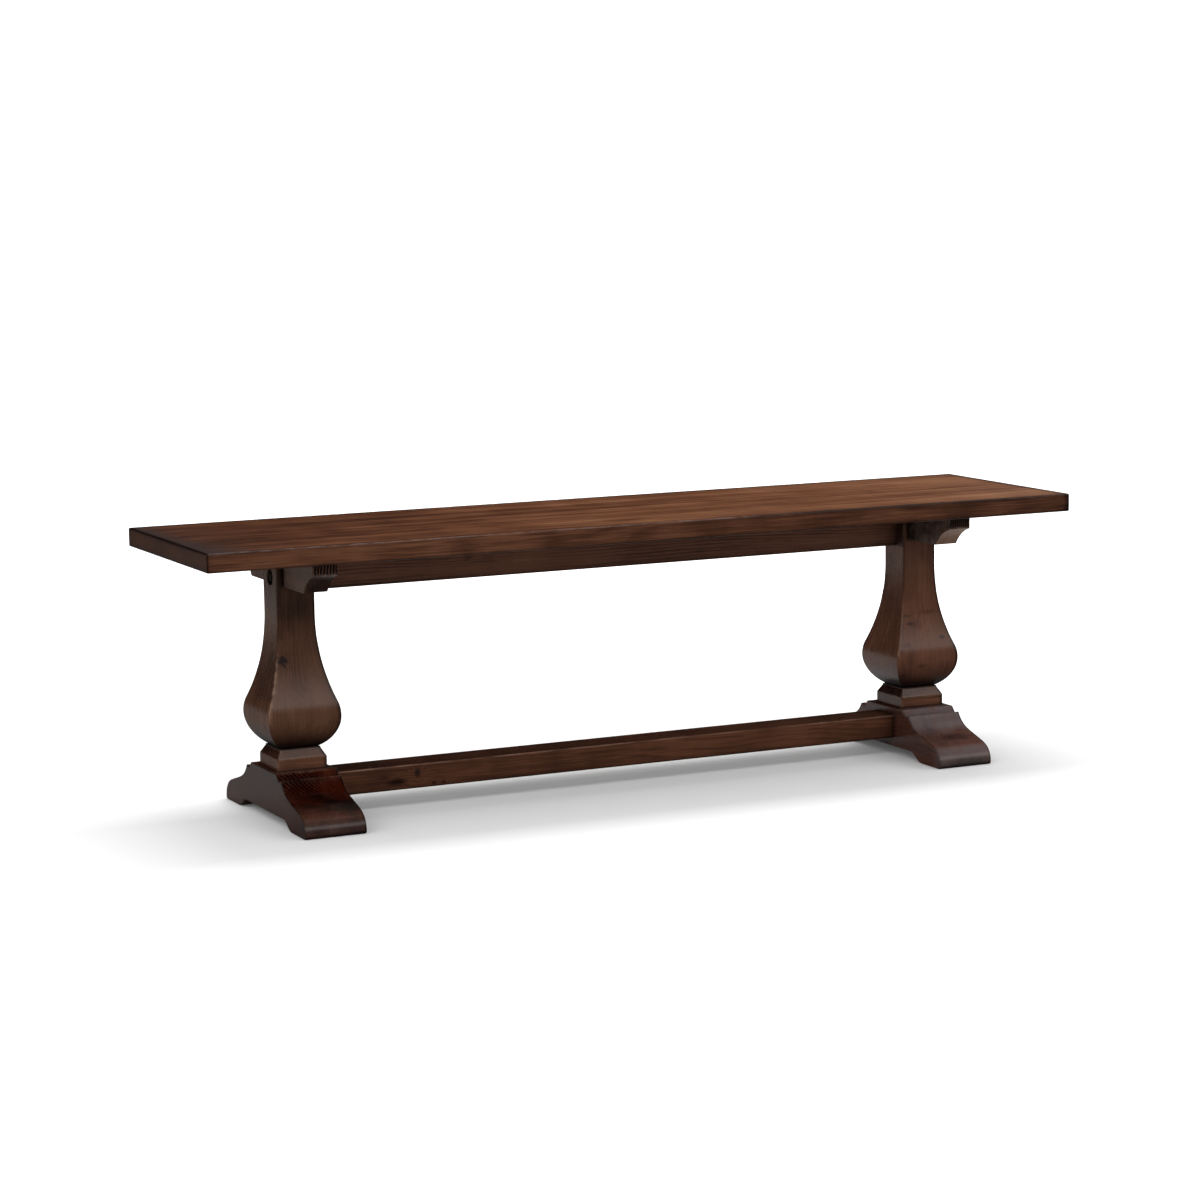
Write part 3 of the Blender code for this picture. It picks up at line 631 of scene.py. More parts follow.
def raw_dowel(name, along):
    """Raw beech: pale, with small darker flecks along the grain."""
    t = Tree(name)
    place = t.node("ShaderNodeTexCoord").outputs["Object"]
    stretch = tuple(60.0 if k == along else 900.0 for k in range(3))
    fleck = t.smooth(t.noise(place, stretch, 2.0, 0.6), 0.58, 0.70)
    fibre = t.noise(place, tuple(s * 0.5 for s in stretch), 3.0, 0.6)
    colour = t.ramp(fibre, ((0.25, (0.42, 0.28, 0.16)), (0.75, (0.62, 0.46, 0.29))))
    colour = t.mix(t.math("MULTIPLY", fleck, 0.6), colour, (0.24, 0.13, 0.07))
    t.put(t.shader.inputs["Base Color"], colour)
    t.put(t.shader.inputs["Roughness"], t.math("ADD", 0.55, t.math("MULTIPLY", fibre, 0.25)))
    bump = t.node("ShaderNodeBump")
    bump.inputs["Strength"].default_value = 0.3
    bump.inputs["Distance"].default_value = 0.0002
    t.put(bump.inputs["Height"], fibre)
    t.put(t.shader.inputs["Normal"], bump.outputs[0])
    return t.material


# ---------------------------------------------------------------------- seat
# places where the stain took darker or lighter on the top: x, y, reach in x and y, amount
SEAT_SPOTS = ((-0.408, 0.108, 0.115, 0.030, -0.13), (0.167, 0.098, 0.060, 0.025, -0.12),
              (0.387, 0.073, 0.060, 0.022, -0.13), (0.302, -0.002, 0.075, 0.020, -0.12),
              (0.252, -0.060, 0.050, 0.020, -0.10), (-0.473, -0.065, 0.050, 0.020, -0.11),
              (-0.040, -0.135, 0.035, 0.018, -0.12), (-0.205, -0.107, 0.135, 0.018, 0.10),
              (0.642, -0.137, 0.085, 0.024, 0.12), (0.150, 0.023, 0.500, 0.008, 0.08))


def top_shade(x, y):
    # the lengthwise gradient, darker at the left end and lighter at the right, is painted light; the spots are stain
    out = np.interp(x, (-0.773, -0.60, -0.35, 0.0, 0.40, 0.70, 0.773), (-0.24, -0.20, -0.13, 0.01, 0.04, 0.17, 0.16))
    for cx, cy, rx, ry, amount in SEAT_SPOTS:
        out = out + 1.35 * amount * np.exp(-((x - cx) / rx) ** 2 - ((y - cy) / ry) ** 2)
    return out


def front_shade(x, below_top):
    out = np.interp(x, (-0.773, -0.50, -0.20, 0.20, 0.50, 0.773), (-0.07, -0.06, -0.10, -0.125, -0.155, -0.165))
    dark = np.clip((x - 0.08) / 0.08, 0, 1) + np.clip((-0.60 - x) / 0.04, 0, 1)
    return out - 0.20 * dark * np.clip(1.4 - below_top / 0.007, 0, 1)


def seat_board(index):
    names = ("seat_board_front", "seat_board_middle", "seat_board_back")
    y0 = -SEAT_HALF_Y + index * (BOARD_WIDTH + GAP)
    y1 = y0 + BOARD_WIDTH
    # neighbouring boards close up to a glue line
    low_y = y0 - (0.00012 if index > 0 else 0.0)
    high_y = y1 + (0.00012 if index < 2 else 0.0)
    bm = block((-SEAT_HALF_X, low_y, SEAT_Z0), (SEAT_HALF_X, high_y, SEAT_Z1))

    def outer(middle, direction):
        at_end = abs(middle.x) > SEAT_HALF_X - 1e-5
        at_side = abs(middle.y) > SEAT_HALF_Y - 1e-5
        if abs(direction.y) > 0.5:
            return at_end
        return at_side

    round_edges(bm, outer, 0.0024, 5)
    split_along(bm, 0, 420 if index == 0 else 250, 1.0)
    slice_at(bm, 1, spread(y0 + 0.004, y1 - 0.004, 0.0075)
             + [y0 + 0.004, y1 - 0.004, y0 + 0.0075, y1 - 0.0075])
    slice_at(bm, 2, [SEAT_Z0 + 0.0035, SEAT_Z0 + 0.009, SEAT_Z0 + 0.0143,
                     SEAT_Z1 - 0.009, SEAT_Z1 - 0.0035])
    if index == 0:
        slice_at(bm, 0, spread(-SEAT_HALF_X + 0.003, -SEAT_HALF_X + 0.030, 0.0009))
    mesh = to_mesh(bm, names[index])
    co, no = coordinates(mesh), normals(mesh)

    # slight hand-planed unevenness of the top, and small dents and rubbed spots on the arrises
    x, y, z = co.T
    top = np.clip((no[:, 2] - 0.6) / 0.4, 0, 1)
    inside = np.clip(np.minimum(SEAT_HALF_Y - np.abs(y), SEAT_HALF_X - np.abs(x)) / 0.012, 0, 1)
    wave = soft_noise(co * (1.0, 2.2, 1.0), 14.0, 3) * 0.5 - 0.5
    co[:, 2] += top * inside * wave * 0.00016
    d_front, d_end = y + SEAT_HALF_Y, SEAT_HALF_X - np.abs(x)
    d_back, d_top, d_low = SEAT_HALF_Y - y, SEAT_Z1 - z, z - SEAT_Z0
    if index != 1:
        side = d_front if index == 0 else d_back
        inward = 1.0 if index == 0 else -1.0
        spots = []
        if index == 0:
            spots += [(-SEAT_HALF_X + 0.0055 + 0.0031 * i + 0.0006 * math.sin(5.0 * i), 0.0013,
                       0.00045) for i in range(8)]
        for _ in range(30):
            spots.append((RNG.uniform(-0.765, 0.765), RNG.uniform(0.0025, 0.0075),
                          RNG.uniform(0.00015, 0.0005)))
        edge = np.hypot(side, d_top)
        for cx, reach, depth in spots:
            far = np.hypot(x - cx, np.minimum(edge, 1.0) * 1.0) / reach
            push = np.clip(1 - far * far, 0, None) ** 2 * depth
            co[:, 1] += inward * push * 0.7
            co[:, 2] -= push * 0.7
        ease = np.clip(1 - edge / 0.005, 0, 1) ** 2 * (soft_noise(co * (1, 0, 0), 38.0, 9) + 1) * 0.00025
        co[:, 1] += inward * ease
        co[:, 2] -= ease
    set_coordinates(mesh, co)

    holes = []
    for side in (-1, 1):
        for sy in SEAT_SCREW_Y:
            if y0 < sy < y1:
                holes.append(hole(SCREW_R + GAP, SEAT_Z0 - 0.002, SEAT_SCREW_TIP + 0.001, "Z",
                                  (side * POST_X, sy, 0), 24))
    if index == 1:
        for sx in APRON_SCREW_X:
            holes.append(hole(SCREW_R + GAP, SEAT_Z0 - 0.002, APRON_SCREW_TIP + 0.001, "Z",
                              (sx, 0, 0), 24))
    mesh = cut(mesh, holes)

    co, no = coordinates(mesh), normals(mesh)
    x, y, z = co.T
    d_front, d_back, d_end = y + SEAT_HALF_Y, SEAT_HALF_Y - y, SEAT_HALF_X - np.abs(x)
    d_top, d_low = SEAT_Z1 - z, z - SEAT_Z0
    # the front top arris is lightened, fading to the right: a painted highlight; the ends, the right part of the front
    # arris, the corners and the back edge are darkened: partly dark stain, partly painted shade
    abraded_and_lit, edge_darkening = 0.0 * x, np.clip(1.5 - np.minimum(np.hypot(d_end, d_top), np.hypot(d_end, d_low)) / np.where(x > 0, 0.0115, 0.0030), 0, 1)
    if index == 0:
        abraded_and_lit = np.clip(1.25 - np.hypot(d_front, d_top) / 0.0016, 0, 1)
        abraded_and_lit = abraded_and_lit * np.clip((d_end - 0.002) / 0.004, 0, 1) * np.clip((0.20 - x) / 0.06, 0.12, 1)
        edge_darkening = np.maximum(edge_darkening, np.clip((x - 0.12) / 0.06, 0, 0.85) * np.clip(1.3 - np.hypot(d_front, d_top) / 0.0026, 0, 1))
        edge_darkening = np.maximum(edge_darkening, np.clip(1.3 - np.hypot(d_front, d_end) / 0.0028, 0, 1))
        edge_darkening = np.maximum(edge_darkening, np.where(x > 0, np.clip(1.5 - np.hypot(d_front, d_end) / 0.0060, 0, 1), 0))
        edge_darkening = np.maximum(edge_darkening, 0.6 * np.clip(1.4 - np.hypot(d_front, d_low) / 0.0026, 0, 1))
    if index == 2:
        edge = np.min([np.hypot(d_back, d_top), np.hypot(d_back, d_low), np.hypot(d_back, d_end)], axis=0)
        edge_darkening = np.maximum(edge_darkening, np.clip(1.5 - edge / 0.0040, 0, 1))
        edge_darkening = np.maximum(edge_darkening, 0.95 * np.clip(1.5 - np.hypot(d_back, d_top) / 0.0115, 0, 1))
    mask(mesh, "arris", abraded_and_lit)
    mask(mesh, "dark_edge", edge_darkening)
    on_top = np.clip((no[:, 2] - 0.3) / 0.5, 0, 1)
    left = SEAT_HALF_X + x
    wide = np.where((x < -0.27) | ((x > 0.11) & (x < 0.53)), 0.012, 0.006)
    # darker bands along the ends, front and back of the top, and near the bottom and ends of the sides: partly dark
    # stain, partly painted shade
    dark_stain_and_shade = np.maximum.reduce([0.55 * near(left, 0.012), 0.60 * near(SEAT_HALF_X - x, 0.010),
                               0.75 * near(d_front, wide), 0.95 * near(d_back - 0.004, 0.006), 0.55 * near(d_back, 0.016)])
    # a grey-violet painted reflection on the top at the left end, widest toward the front
    mask(mesh, "painted_sheen", on_top * np.maximum(0.85 * np.exp(-(left / (0.034 + 0.040 * np.clip((0.02 - y) / 0.2, 0, 1))) ** 2),
                                           0.35 * np.exp(-(left / 0.090) ** 2)))
    on_front = np.clip((-no[:, 1] - 0.3) / 0.5, 0, 1)
    mask(mesh, "shade", 0.5 + on_top * top_shade(x, y) + on_front * front_shade(x, d_top))
    mask(mesh, "calm", 1 - on_top)
    mask(mesh, "dark_stain_and_shade", on_top * dark_stain_and_shade + (1 - on_top) * (0.30 * near(d_low, 0.006) + np.where(x > 0, 0.85, 0.5) * near(d_end, 0.008)))
    mask(mesh, "end_grain", np.abs(no[:, 0]) ** 3)
    # painted shade on the underside, deepest beside the bearers
    under = np.clip(-no[:, 2], 0, 1)
    near_bearer = near(np.abs(np.abs(x) - POST_X) - 0.022, 0.02)
    mask(mesh, "painted_shade", under * (0.15 + 0.5 * near_bearer))

    marks = ()
    tones = SEAT_TONES
    if index == 0:
        front_y = -SEAT_HALF_Y
        marks = tuple(((-SEAT_HALF_X + share * 2 * SEAT_HALF_X, front_y, 0.445), (reach, 0.0035, 0.045),
                       strength * 0.70, (0.50, 0.45, 0.46), True)
                      for share, reach, strength in ((0.275, 0.034, 0.75), (0.37, 0.022, 0.7),
                                                     (0.545, 0.045, 0.7), (0.70, 0.065, 0.8),
                                                     (0.865, 0.060, 0.8)))
    # the grey-violet edge tint makes the painted highlight on the front arris, and the sheen colour makes the painted
    # reflection at the left end
    material = wood("stain_" + names[index], "X", ((-0.052, 0.395), (0.012, 0.39), (0.085, 0.400))[index],
                    (2.0, 3.1, 4.3)[index], tones, ring=0.0060, tilt=((0.01, 0.0), (-0.012, 0.004), (0.008, -0.004))[index],
                    streak=0.95, fibre=0.90, blotch=0.34, cross=0.28, lines=0.12, marks=marks, rough=0.30,
                    abrasion_and_highlight=0.85, abrasion_and_highlight_tint=(0.120, 0.098, 0.102), edge_breakup_scale=(60.0, 40.0, 40.0),
                    mid=0.95, shade=1.0, painted_sheen=(0.0240, 0.0170, 0.0160), calm=0.72)
    piece(names[index] + "_wood", mesh, material, names[index])


# ------------------------------------------------------------ rails along X
def apron_rail():
    end = POST_X - NECK_HALF - GAP
    bm = block((-end, -APRON_HALF_Y, APRON_Z0), (end, APRON_HALF_Y, UNDER_SEAT))
    round_edges(bm, lambda m, d: abs(d.x) > 0.5 and m.z < APRON_Z0 + 0.001, 0.0018, 4)
    split_along(bm, 0, 150, 0.8)
    slice_at(bm, 2, spread(APRON_Z0 + 0.003, UNDER_SEAT, 0.0065) + [APRON_Z0 + 0.003])
    slice_at(bm, 1, (-0.004, 0.004))
    mesh = to_mesh(bm, "apron_rail")
    cutters = []
    for side in (-1, 1):
        axis = "X" if side < 0 else "-X"
        cutters.append(hole(BOLT_R + 0.0004, -0.004, NUT_SET + 0.015, axis, (side * end, 0, BOLT_Z)))
        r = NUT_R + GAP
        cutters.append(turned([(0, NUT_Y0 - GAP), (r, NUT_Y0 - GAP), (r, APRON_HALF_Y - 0.0005),
                               (r + 0.0005, APRON_HALF_Y), (r + 0.0005, APRON_HALF_Y + 0.004),
                               (0, APRON_HALF_Y + 0.004)], "Y",
                              (side * (end - NUT_SET), 0, BOLT_Z), 40))
        for z in RAIL_DOWEL_Z:
            cutters.append(hole(RAIL_DOWEL_R + GAP, -0.004, RAIL_DOWEL_X1 - NECK_HALF - GAP + 0.001,
                                axis, (side * end, 0, z)))
    for x in APRON_SCREW_X:
        cutters.append(screw_hole(APRON_Z0, 0.025, UNDER_SEAT + 0.002, x, 0))
    mesh = cut(mesh, cutters)
    co, no = coordinates(mesh), normals(mesh)
    x, y, z = co.T
    edge = np.hypot(APRON_HALF_Y - np.abs(y), z - APRON_Z0)
    mask(mesh, "arris", 0.35 * np.clip(1.3 - edge / 0.0014, 0, 1))
    # the bottom edges are darkened, partly as painted shade; painted shade also under the seat and at the ends by the
    # posts
    mask(mesh, "dark_edge", 0.55 * np.clip(1.5 - edge / 0.0030, 0, 1))
    mask(mesh, "dark_stain_and_shade", 0.25 * near(z - APRON_Z0, 0.004))
    mask(mesh, "painted_shade", np.maximum(0.75 * near(UNDER_SEAT - z, 0.004), 0.85 * near(end - np.abs(x), np.where(x > 0, 0.020, 0.007))))
    mask(mesh, "end_grain", np.abs(no[:, 0]) ** 3)
    material = wood("stain_apron_rail", "X", (0.030, 0.120), 6.2, BASE_TONES, ring=0.0054,
                    tilt=(0.0, 0.010), streak=0.35, fibre=0.50, blotch=0.45, cross=0.20, lines=0.50,
                    marks=(((-0.2674, -APRON_HALF_Y, 0.3960), (0.012, 0.010, 0.006), 0.6, (0.50, 0.45, 0.42), True),),
                    rough=0.30, abrasion_and_highlight=0.35, tint=(1.66, 1.62, 1.62))
    piece("apron_rail_wood", mesh, material, "apron_rail")


def lower_stretcher():
    end = POST_X - FOOT_HALF_X - GAP
    bm = block((-end, -STRETCHER_HALF_Y, STRETCHER_Z0), (end, STRETCHER_HALF_Y, STRETCHER_Z1))
    round_edges(bm, lambda m, d: abs(d.x) > 0.5, 0.0020, 4)
    split_along(bm, 0, 170, 0.8)
    slice_at(bm, 2, spread(STRETCHER_Z0 + 0.003, STRETCHER_Z1 - 0.003, 0.006)
             + [STRETCHER_Z0 + 0.003, STRETCHER_Z1 - 0.003])
    slice_at(bm, 1, spread(-STRETCHER_HALF_Y + 0.003, STRETCHER_HALF_Y - 0.003, 0.008)
             + [-STRETCHER_HALF_Y + 0.003, STRETCHER_HALF_Y - 0.003])
    mesh = to_mesh(bm, "lower_stretcher")
    co = coordinates(mesh)
    x, y, z = co.T
    edge_front = np.hypot(y + STRETCHER_HALF_Y, STRETCHER_Z1 - z)
    for cx in np.sort(RNG.uniform(-0.5, 0.5, 16)):
        reach, depth = RNG.uniform(0.006, 0.012), RNG.uniform(0.0001, 0.0003)
        push = np.clip(1 - (np.hypot(x - cx, edge_front) / reach) ** 2, 0, None) ** 2 * depth
        co[:, 1] += push * 0.7
        co[:, 2] -= push * 0.7
    set_coordinates(mesh, co)
    tenons = []
    for side in (-1, 1):
        xs = sorted((side * (end - 0.010), side * (end + TENON_LENGTH)))
        bm = block((xs[0], -TENON_HALF_Y, TENON_Z0), (xs[1], TENON_HALF_Y, TENON_Z1))
        round_edges(bm, lambda m, d: abs(m.x) > end + TENON_LENGTH - 1e-4, 0.0012, 2)
        tenons.append(to_mesh(bm, "tenon"))
    mesh = combined(mesh, tenons, "UNION")
    holes = []
    for side in (-1, 1):
        for y in (-LOCK_SCREW_Y, LOCK_SCREW_Y):
            holes.append(hole(SCREW_R + GAP, TENON_Z0 - 0.003, ARCH_Z + 0.0006 + 0.042 + 0.001, "Z",
                              (side * (POST_X - LOCK_SCREW_X), y, 0), 24))
    mesh = cut(mesh, holes)
    co, no = coordinates(mesh), normals(mesh)
    x, y, z = co.T
    dy = STRETCHER_HALF_Y - np.abs(y)
    mask(mesh, "arris", np.clip(1.35 - np.hypot(dy, STRETCHER_Z1 - z) / 0.0021, 0, 1) * np.interp(x, (-0.5, -0.3, 0.1, 0.5), (1.0, 0.95, 0.70, 0.60)))
    # bottom edges darkened, partly as painted shade; the top face darkened as painted shade; painted shade at the
    # joints with the feet
    mask(mesh, "dark_edge", 0.8 * np.clip(1.4 - np.hypot(dy, z - STRETCHER_Z0) / 0.0030, 0, 1))
    mask(mesh, "dark_stain_and_shade", 0.35 * np.clip(no[:, 2], 0, 1))
    mask(mesh, "painted_shade", 0.85 * near(end - np.abs(x), 0.008))
    mask(mesh, "end_grain", np.abs(no[:, 0]) ** 3)
    mask(mesh, "shade", 0.5 + np.interp(x, (-0.52, -0.22, 0.05, 0.52), (-0.12, -0.12, -0.01, 0.0)))
    front = -STRETCHER_HALF_Y
    material = wood("stain_lower_stretcher", "X", (0.052, 0.010), 8.4, BASE_TONES, ring=0.0055,
                    tilt=(-0.02, 0.012), streak=0.50, fibre=0.50, blotch=0.60, cross=0.25, lines=0.20,
                    knots=(((-0.3722, front, 0.0551), (0.0062, 0.02, 0.0086), 0.90, 0.35),),
                    marks=(((-0.4080, front, 0.0440), (0.024, 0.010, 0.0080), 0.97, (0.22, 0.20, 0.25)),
                           ((-0.4330, front, 0.0515), (0.016, 0.010, 0.0060), 0.6, (0.45, 0.42, 0.45)),
                           ((-0.3330, front, 0.0505), (0.040, 0.010, 0.0013), 0.6, (0.40, 0.34, 0.32)),
                           ((-0.3438, front, 0.0370), (0.0050, 0.010, 0.0042), 0.95, (0.30, 0.16, 0.14), True),
                           ((-0.3269, front, 0.0365), (0.0045, 0.010, 0.0038), 0.95, (0.36, 0.20, 0.18), True)),
                    rough=0.28, abrasion_and_highlight=0.75, abrasion_and_highlight_tint=(0.190, 0.104, 0.074), edge_breakup_scale=(9.0, 30.0, 30.0), gloss=0.07,
                    shade=1.0, tint=(0.88, 0.83, 0.80))
    piece("lower_stretcher_wood", mesh, material, "lower_stretcher")


# ------------------------------------------------ one end, outer side at -X
def post_half_width(z):
    if z >= NECK_Z:
        return NECK_HALF
    if z <= SHOULDER_Z:
        return math.sqrt(BELLY_R ** 2 - (z - BELLY_Z) ** 2) + BELLY_PAD
    shoulder = math.sqrt(BELLY_R ** 2 - (SHOULDER_Z - BELLY_Z) ** 2)
    slope = -(SHOULDER_Z - BELLY_Z) / shoulder
    run = NECK_Z - SHOULDER_Z
    t = (z - SHOULDER_Z) / run
    return ((1 - 3 * t * t + 2 * t ** 3) * (shoulder + BELLY_PAD)
            + (t - 2 * t * t + t ** 3) * slope * run + (3 * t * t - 2 * t ** 3) * NECK_HALF)


def post_mesh():
    heights = []
    low = math.asin((POST_FOOT_Z - BELLY_Z) / BELLY_R)
    high = math.asin((SHOULDER_Z - BELLY_Z) / BELLY_R)
    heights += [BELLY_Z + BELLY_R * math.sin(low + (high - low) * i / 36) for i in range(37)]
    heights += [SHOULDER_Z + (NECK_Z - SHOULDER_Z) * i / 44 for i in range(1, 45)]
    heights += [NECK_Z + (UNDER_SEAT - NECK_Z) * i / 26 for i in range(1, 27)]
    mesh = to_mesh(loft([(z, post_half_width(z)) for z in heights], 0.0020, 18), "post")
    co = coordinates(mesh)
    widths = np.array([post_half_width(z) for z in co[:, 2]])
    corner = np.hypot(widths - np.abs(co[:, 0]), widths - np.abs(co[:, 1]))
    ease = np.clip(1 - corner / 0.004, 0, 1) * (soft_noise(co * (0.2, 0.2, 1), 60.0, 5) + 1) * 0.00022
    co[:, 0] -= np.sign(co[:, 0]) * ease
    co[:, 1] -= np.sign(co[:, 1]) * ease
    set_coordinates(mesh, co)
    lip = 0.0007
    slot = to_mesh(block((-BEARER_HALF_X - GAP, -0.050, SLOT_Z),
                         (BEARER_HALF_X + GAP, 0.050, UNDER_SEAT + 0.010)), "slot")
    cutters = [
        slot,
        turned([(0, -0.010), (BOLT_SINK_R + lip, -0.010), (BOLT_SINK_R + lip, 0.0),
                (BOLT_SINK_R, lip), (BOLT_SINK_R, BOLT_SINK_DEPTH), (BOLT_R + 0.0004, BOLT_SINK_DEPTH),
                (BOLT_R + 0.0004, 0.080), (0, 0.080)], "X", (-NECK_HALF, 0, BOLT_Z), 56),
        turned([(0, 0.100), (INSERT_R + GAP, 0.100), (INSERT_R + GAP, INSERT_Z1 + 0.001),
                (POST_BOLT_R + 0.0005, INSERT_Z1 + 0.001), (POST_BOLT_R + 0.0005, POST_BOLT_TOP + 0.006),
                (0, POST_BOLT_TOP + 0.006)], sides=32)]
    for y in (-POST_DOWEL_Y, POST_DOWEL_Y):
        cutters.append(hole(POST_DOWEL_R + GAP, 0.100, POST_DOWEL_Z1 + 0.001, "Z", (0, y, 0)))
    for z in RAIL_DOWEL_Z:
        cutters.append(hole(RAIL_DOWEL_R + GAP, RAIL_DOWEL_X0 - GAP, 0.050, "X", (0, 0, z)))
    mesh = cut(mesh, cutters)
    co, no = coordinates(mesh), normals(mesh)
    x, y, z = co.T
    mask(mesh, "end_grain", np.abs(no[:, 2]) ** 3 * 0.8)
    # painted shade above the collar, under the seat, inside the bolt sink, beside the bearer and around the sink's rim
    sink = np.hypot(y, z - BOLT_Z)
    inside_sink = np.clip((x + NECK_HALF - 0.0002) / 0.004, 0, 1) * (sink < BOLT_SINK_R + 0.001)
    beside_bearer = near(np.abs(np.abs(x) - BEARER_HALF_X) - 0.0045, 0.002) * np.clip((z - SLOT_Z + 0.003) / 0.004, 0, 1)
    mask(mesh, "painted_shade", np.maximum.reduce([0.95 * near(z - POST_FOOT_Z - 0.004, 0.010), 0.7 * near(UNDER_SEAT - z, 0.005),
                                          0.95 * inside_sink, 0.97 * beside_bearer,
                                          0.5 * (1 - inside_sink) * near(np.abs(sink - BOLT_SINK_R), 0.0015)
                                          * (x < -0.029)]))
    # darker toward the bottom of the belly: painted shade
    mask(mesh, "dark_stain_and_shade", 0.95 * near(z - POST_FOOT_Z - 0.010, 0.015))
    widths = np.array([post_half_width(v) for v in z])
    mask(mesh, "girth", NECK_HALF / widths)
    return mesh


def collar_mesh():
    half = [(COLLAR_HALF - 0.0004, COLLAR_Z0), (COLLAR_HALF, COLLAR_Z0 + 0.0006)]
    half += eased((COLLAR_HALF, COLLAR_Z0), (COLLAR_HALF, COLLAR_BAND_Z),
                  (COLLAR_FILLET_HALF, COLLAR_FILLET_Z), 0.0016, 5)
    half += [(COLLAR_FILLET_HALF, COLLAR_FILLET_Z), (COLLAR_FILLET_HALF, COLLAR_TOP_Z - 0.0005),
             (COLLAR_FILLET_HALF - 0.0005, COLLAR_TOP_Z)]
    stations = []
    for (w0, z0), (w1, z1) in zip(half, half[1:]):
        steps = max(1, round(math.hypot(w1 - w0, z1 - z0) / 0.0030))
        stations += [(z0 + (z1 - z0) * i / steps, w0 + (w1 - w0) * i / steps) for i in range(steps)]
    stations.append((half[-1][1], half[-1][0]))
    mesh = to_mesh(loft(stations, 0.0013, 14), "collar")
    cutters = [hole(POST_BOLT_R + 0.0005, 0.070, 0.130)]
    for y in (-POST_DOWEL_Y, POST_DOWEL_Y):
        cutters.append(hole(POST_DOWEL_R + GAP, 0.070, 0.130, "Z", (0, y, 0)))
    mesh = cut(mesh, cutters)
    co, no = coordinates(mesh), normals(mesh)
    x, y, z = co.T
    # painted shade at the collar's base and top; the side chamfers are darkened as painted shade and the front and back
    # chamfers greyed as painted sheen
    mask(mesh, "painted_shade", np.maximum(0.75 * near(z - COLLAR_Z0, 0.0022), 0.9 * near(COLLAR_TOP_Z - z, 0.0025)))
    mask(mesh, "dark_stain_and_shade", 0.35 * near(COLLAR_TOP_Z - z, 0.009) + 0.75 * np.clip(np.abs(no[:, 0]) * 3 - 0.6, 0, 1) * np.clip(no[:, 2] * 4 - 0.6, 0, 1))
    mask(mesh, "painted_sheen", 0.32 * np.clip(np.abs(no[:, 1]) * 3 - 0.6, 0, 1) * np.clip(no[:, 2] * 4 - 0.6, 0, 1))
    mask(mesh, "end_grain", np.abs(no[:, 1]) ** 3 * 0.15)
    return mesh


def foot_outline():
    top = COLLAR_Z0 - GAP
    cove = bezier(LEDGE, (0.088, 0.060), (0.100, 0.053), COVE_END, 22)
    nose = bezier(NOSE_START, (0.172, 0.0324), (FOOT_HALF_Y, 0.022), (FOOT_HALF_Y, 0.0050), 26)
    half = eased((0.0, top), (FOOT_TOP_HALF, top), QUIRK, 0.0016, 5)
    half += eased((FOOT_TOP_HALF, top), QUIRK, LEDGE, 0.0012, 4)
    half += eased(QUIRK, LEDGE, cove[3], 0.0016, 5)
    half += cove[3:]
    half += nose
    half += [(FOOT_HALF_Y - 0.0050 + 0.0050 * math.cos(a), 0.0050 - 0.0050 * math.sin(a))
             for a in (math.pi / 2 * i / 6 for i in range(1, 7))]
    half += bezier((PAD_START, 0.0), (0.106, 0.0), (0.101, ARCH_Z), (ARCH_FLAT_HALF, ARCH_Z), 16)
    return mirrored(half)


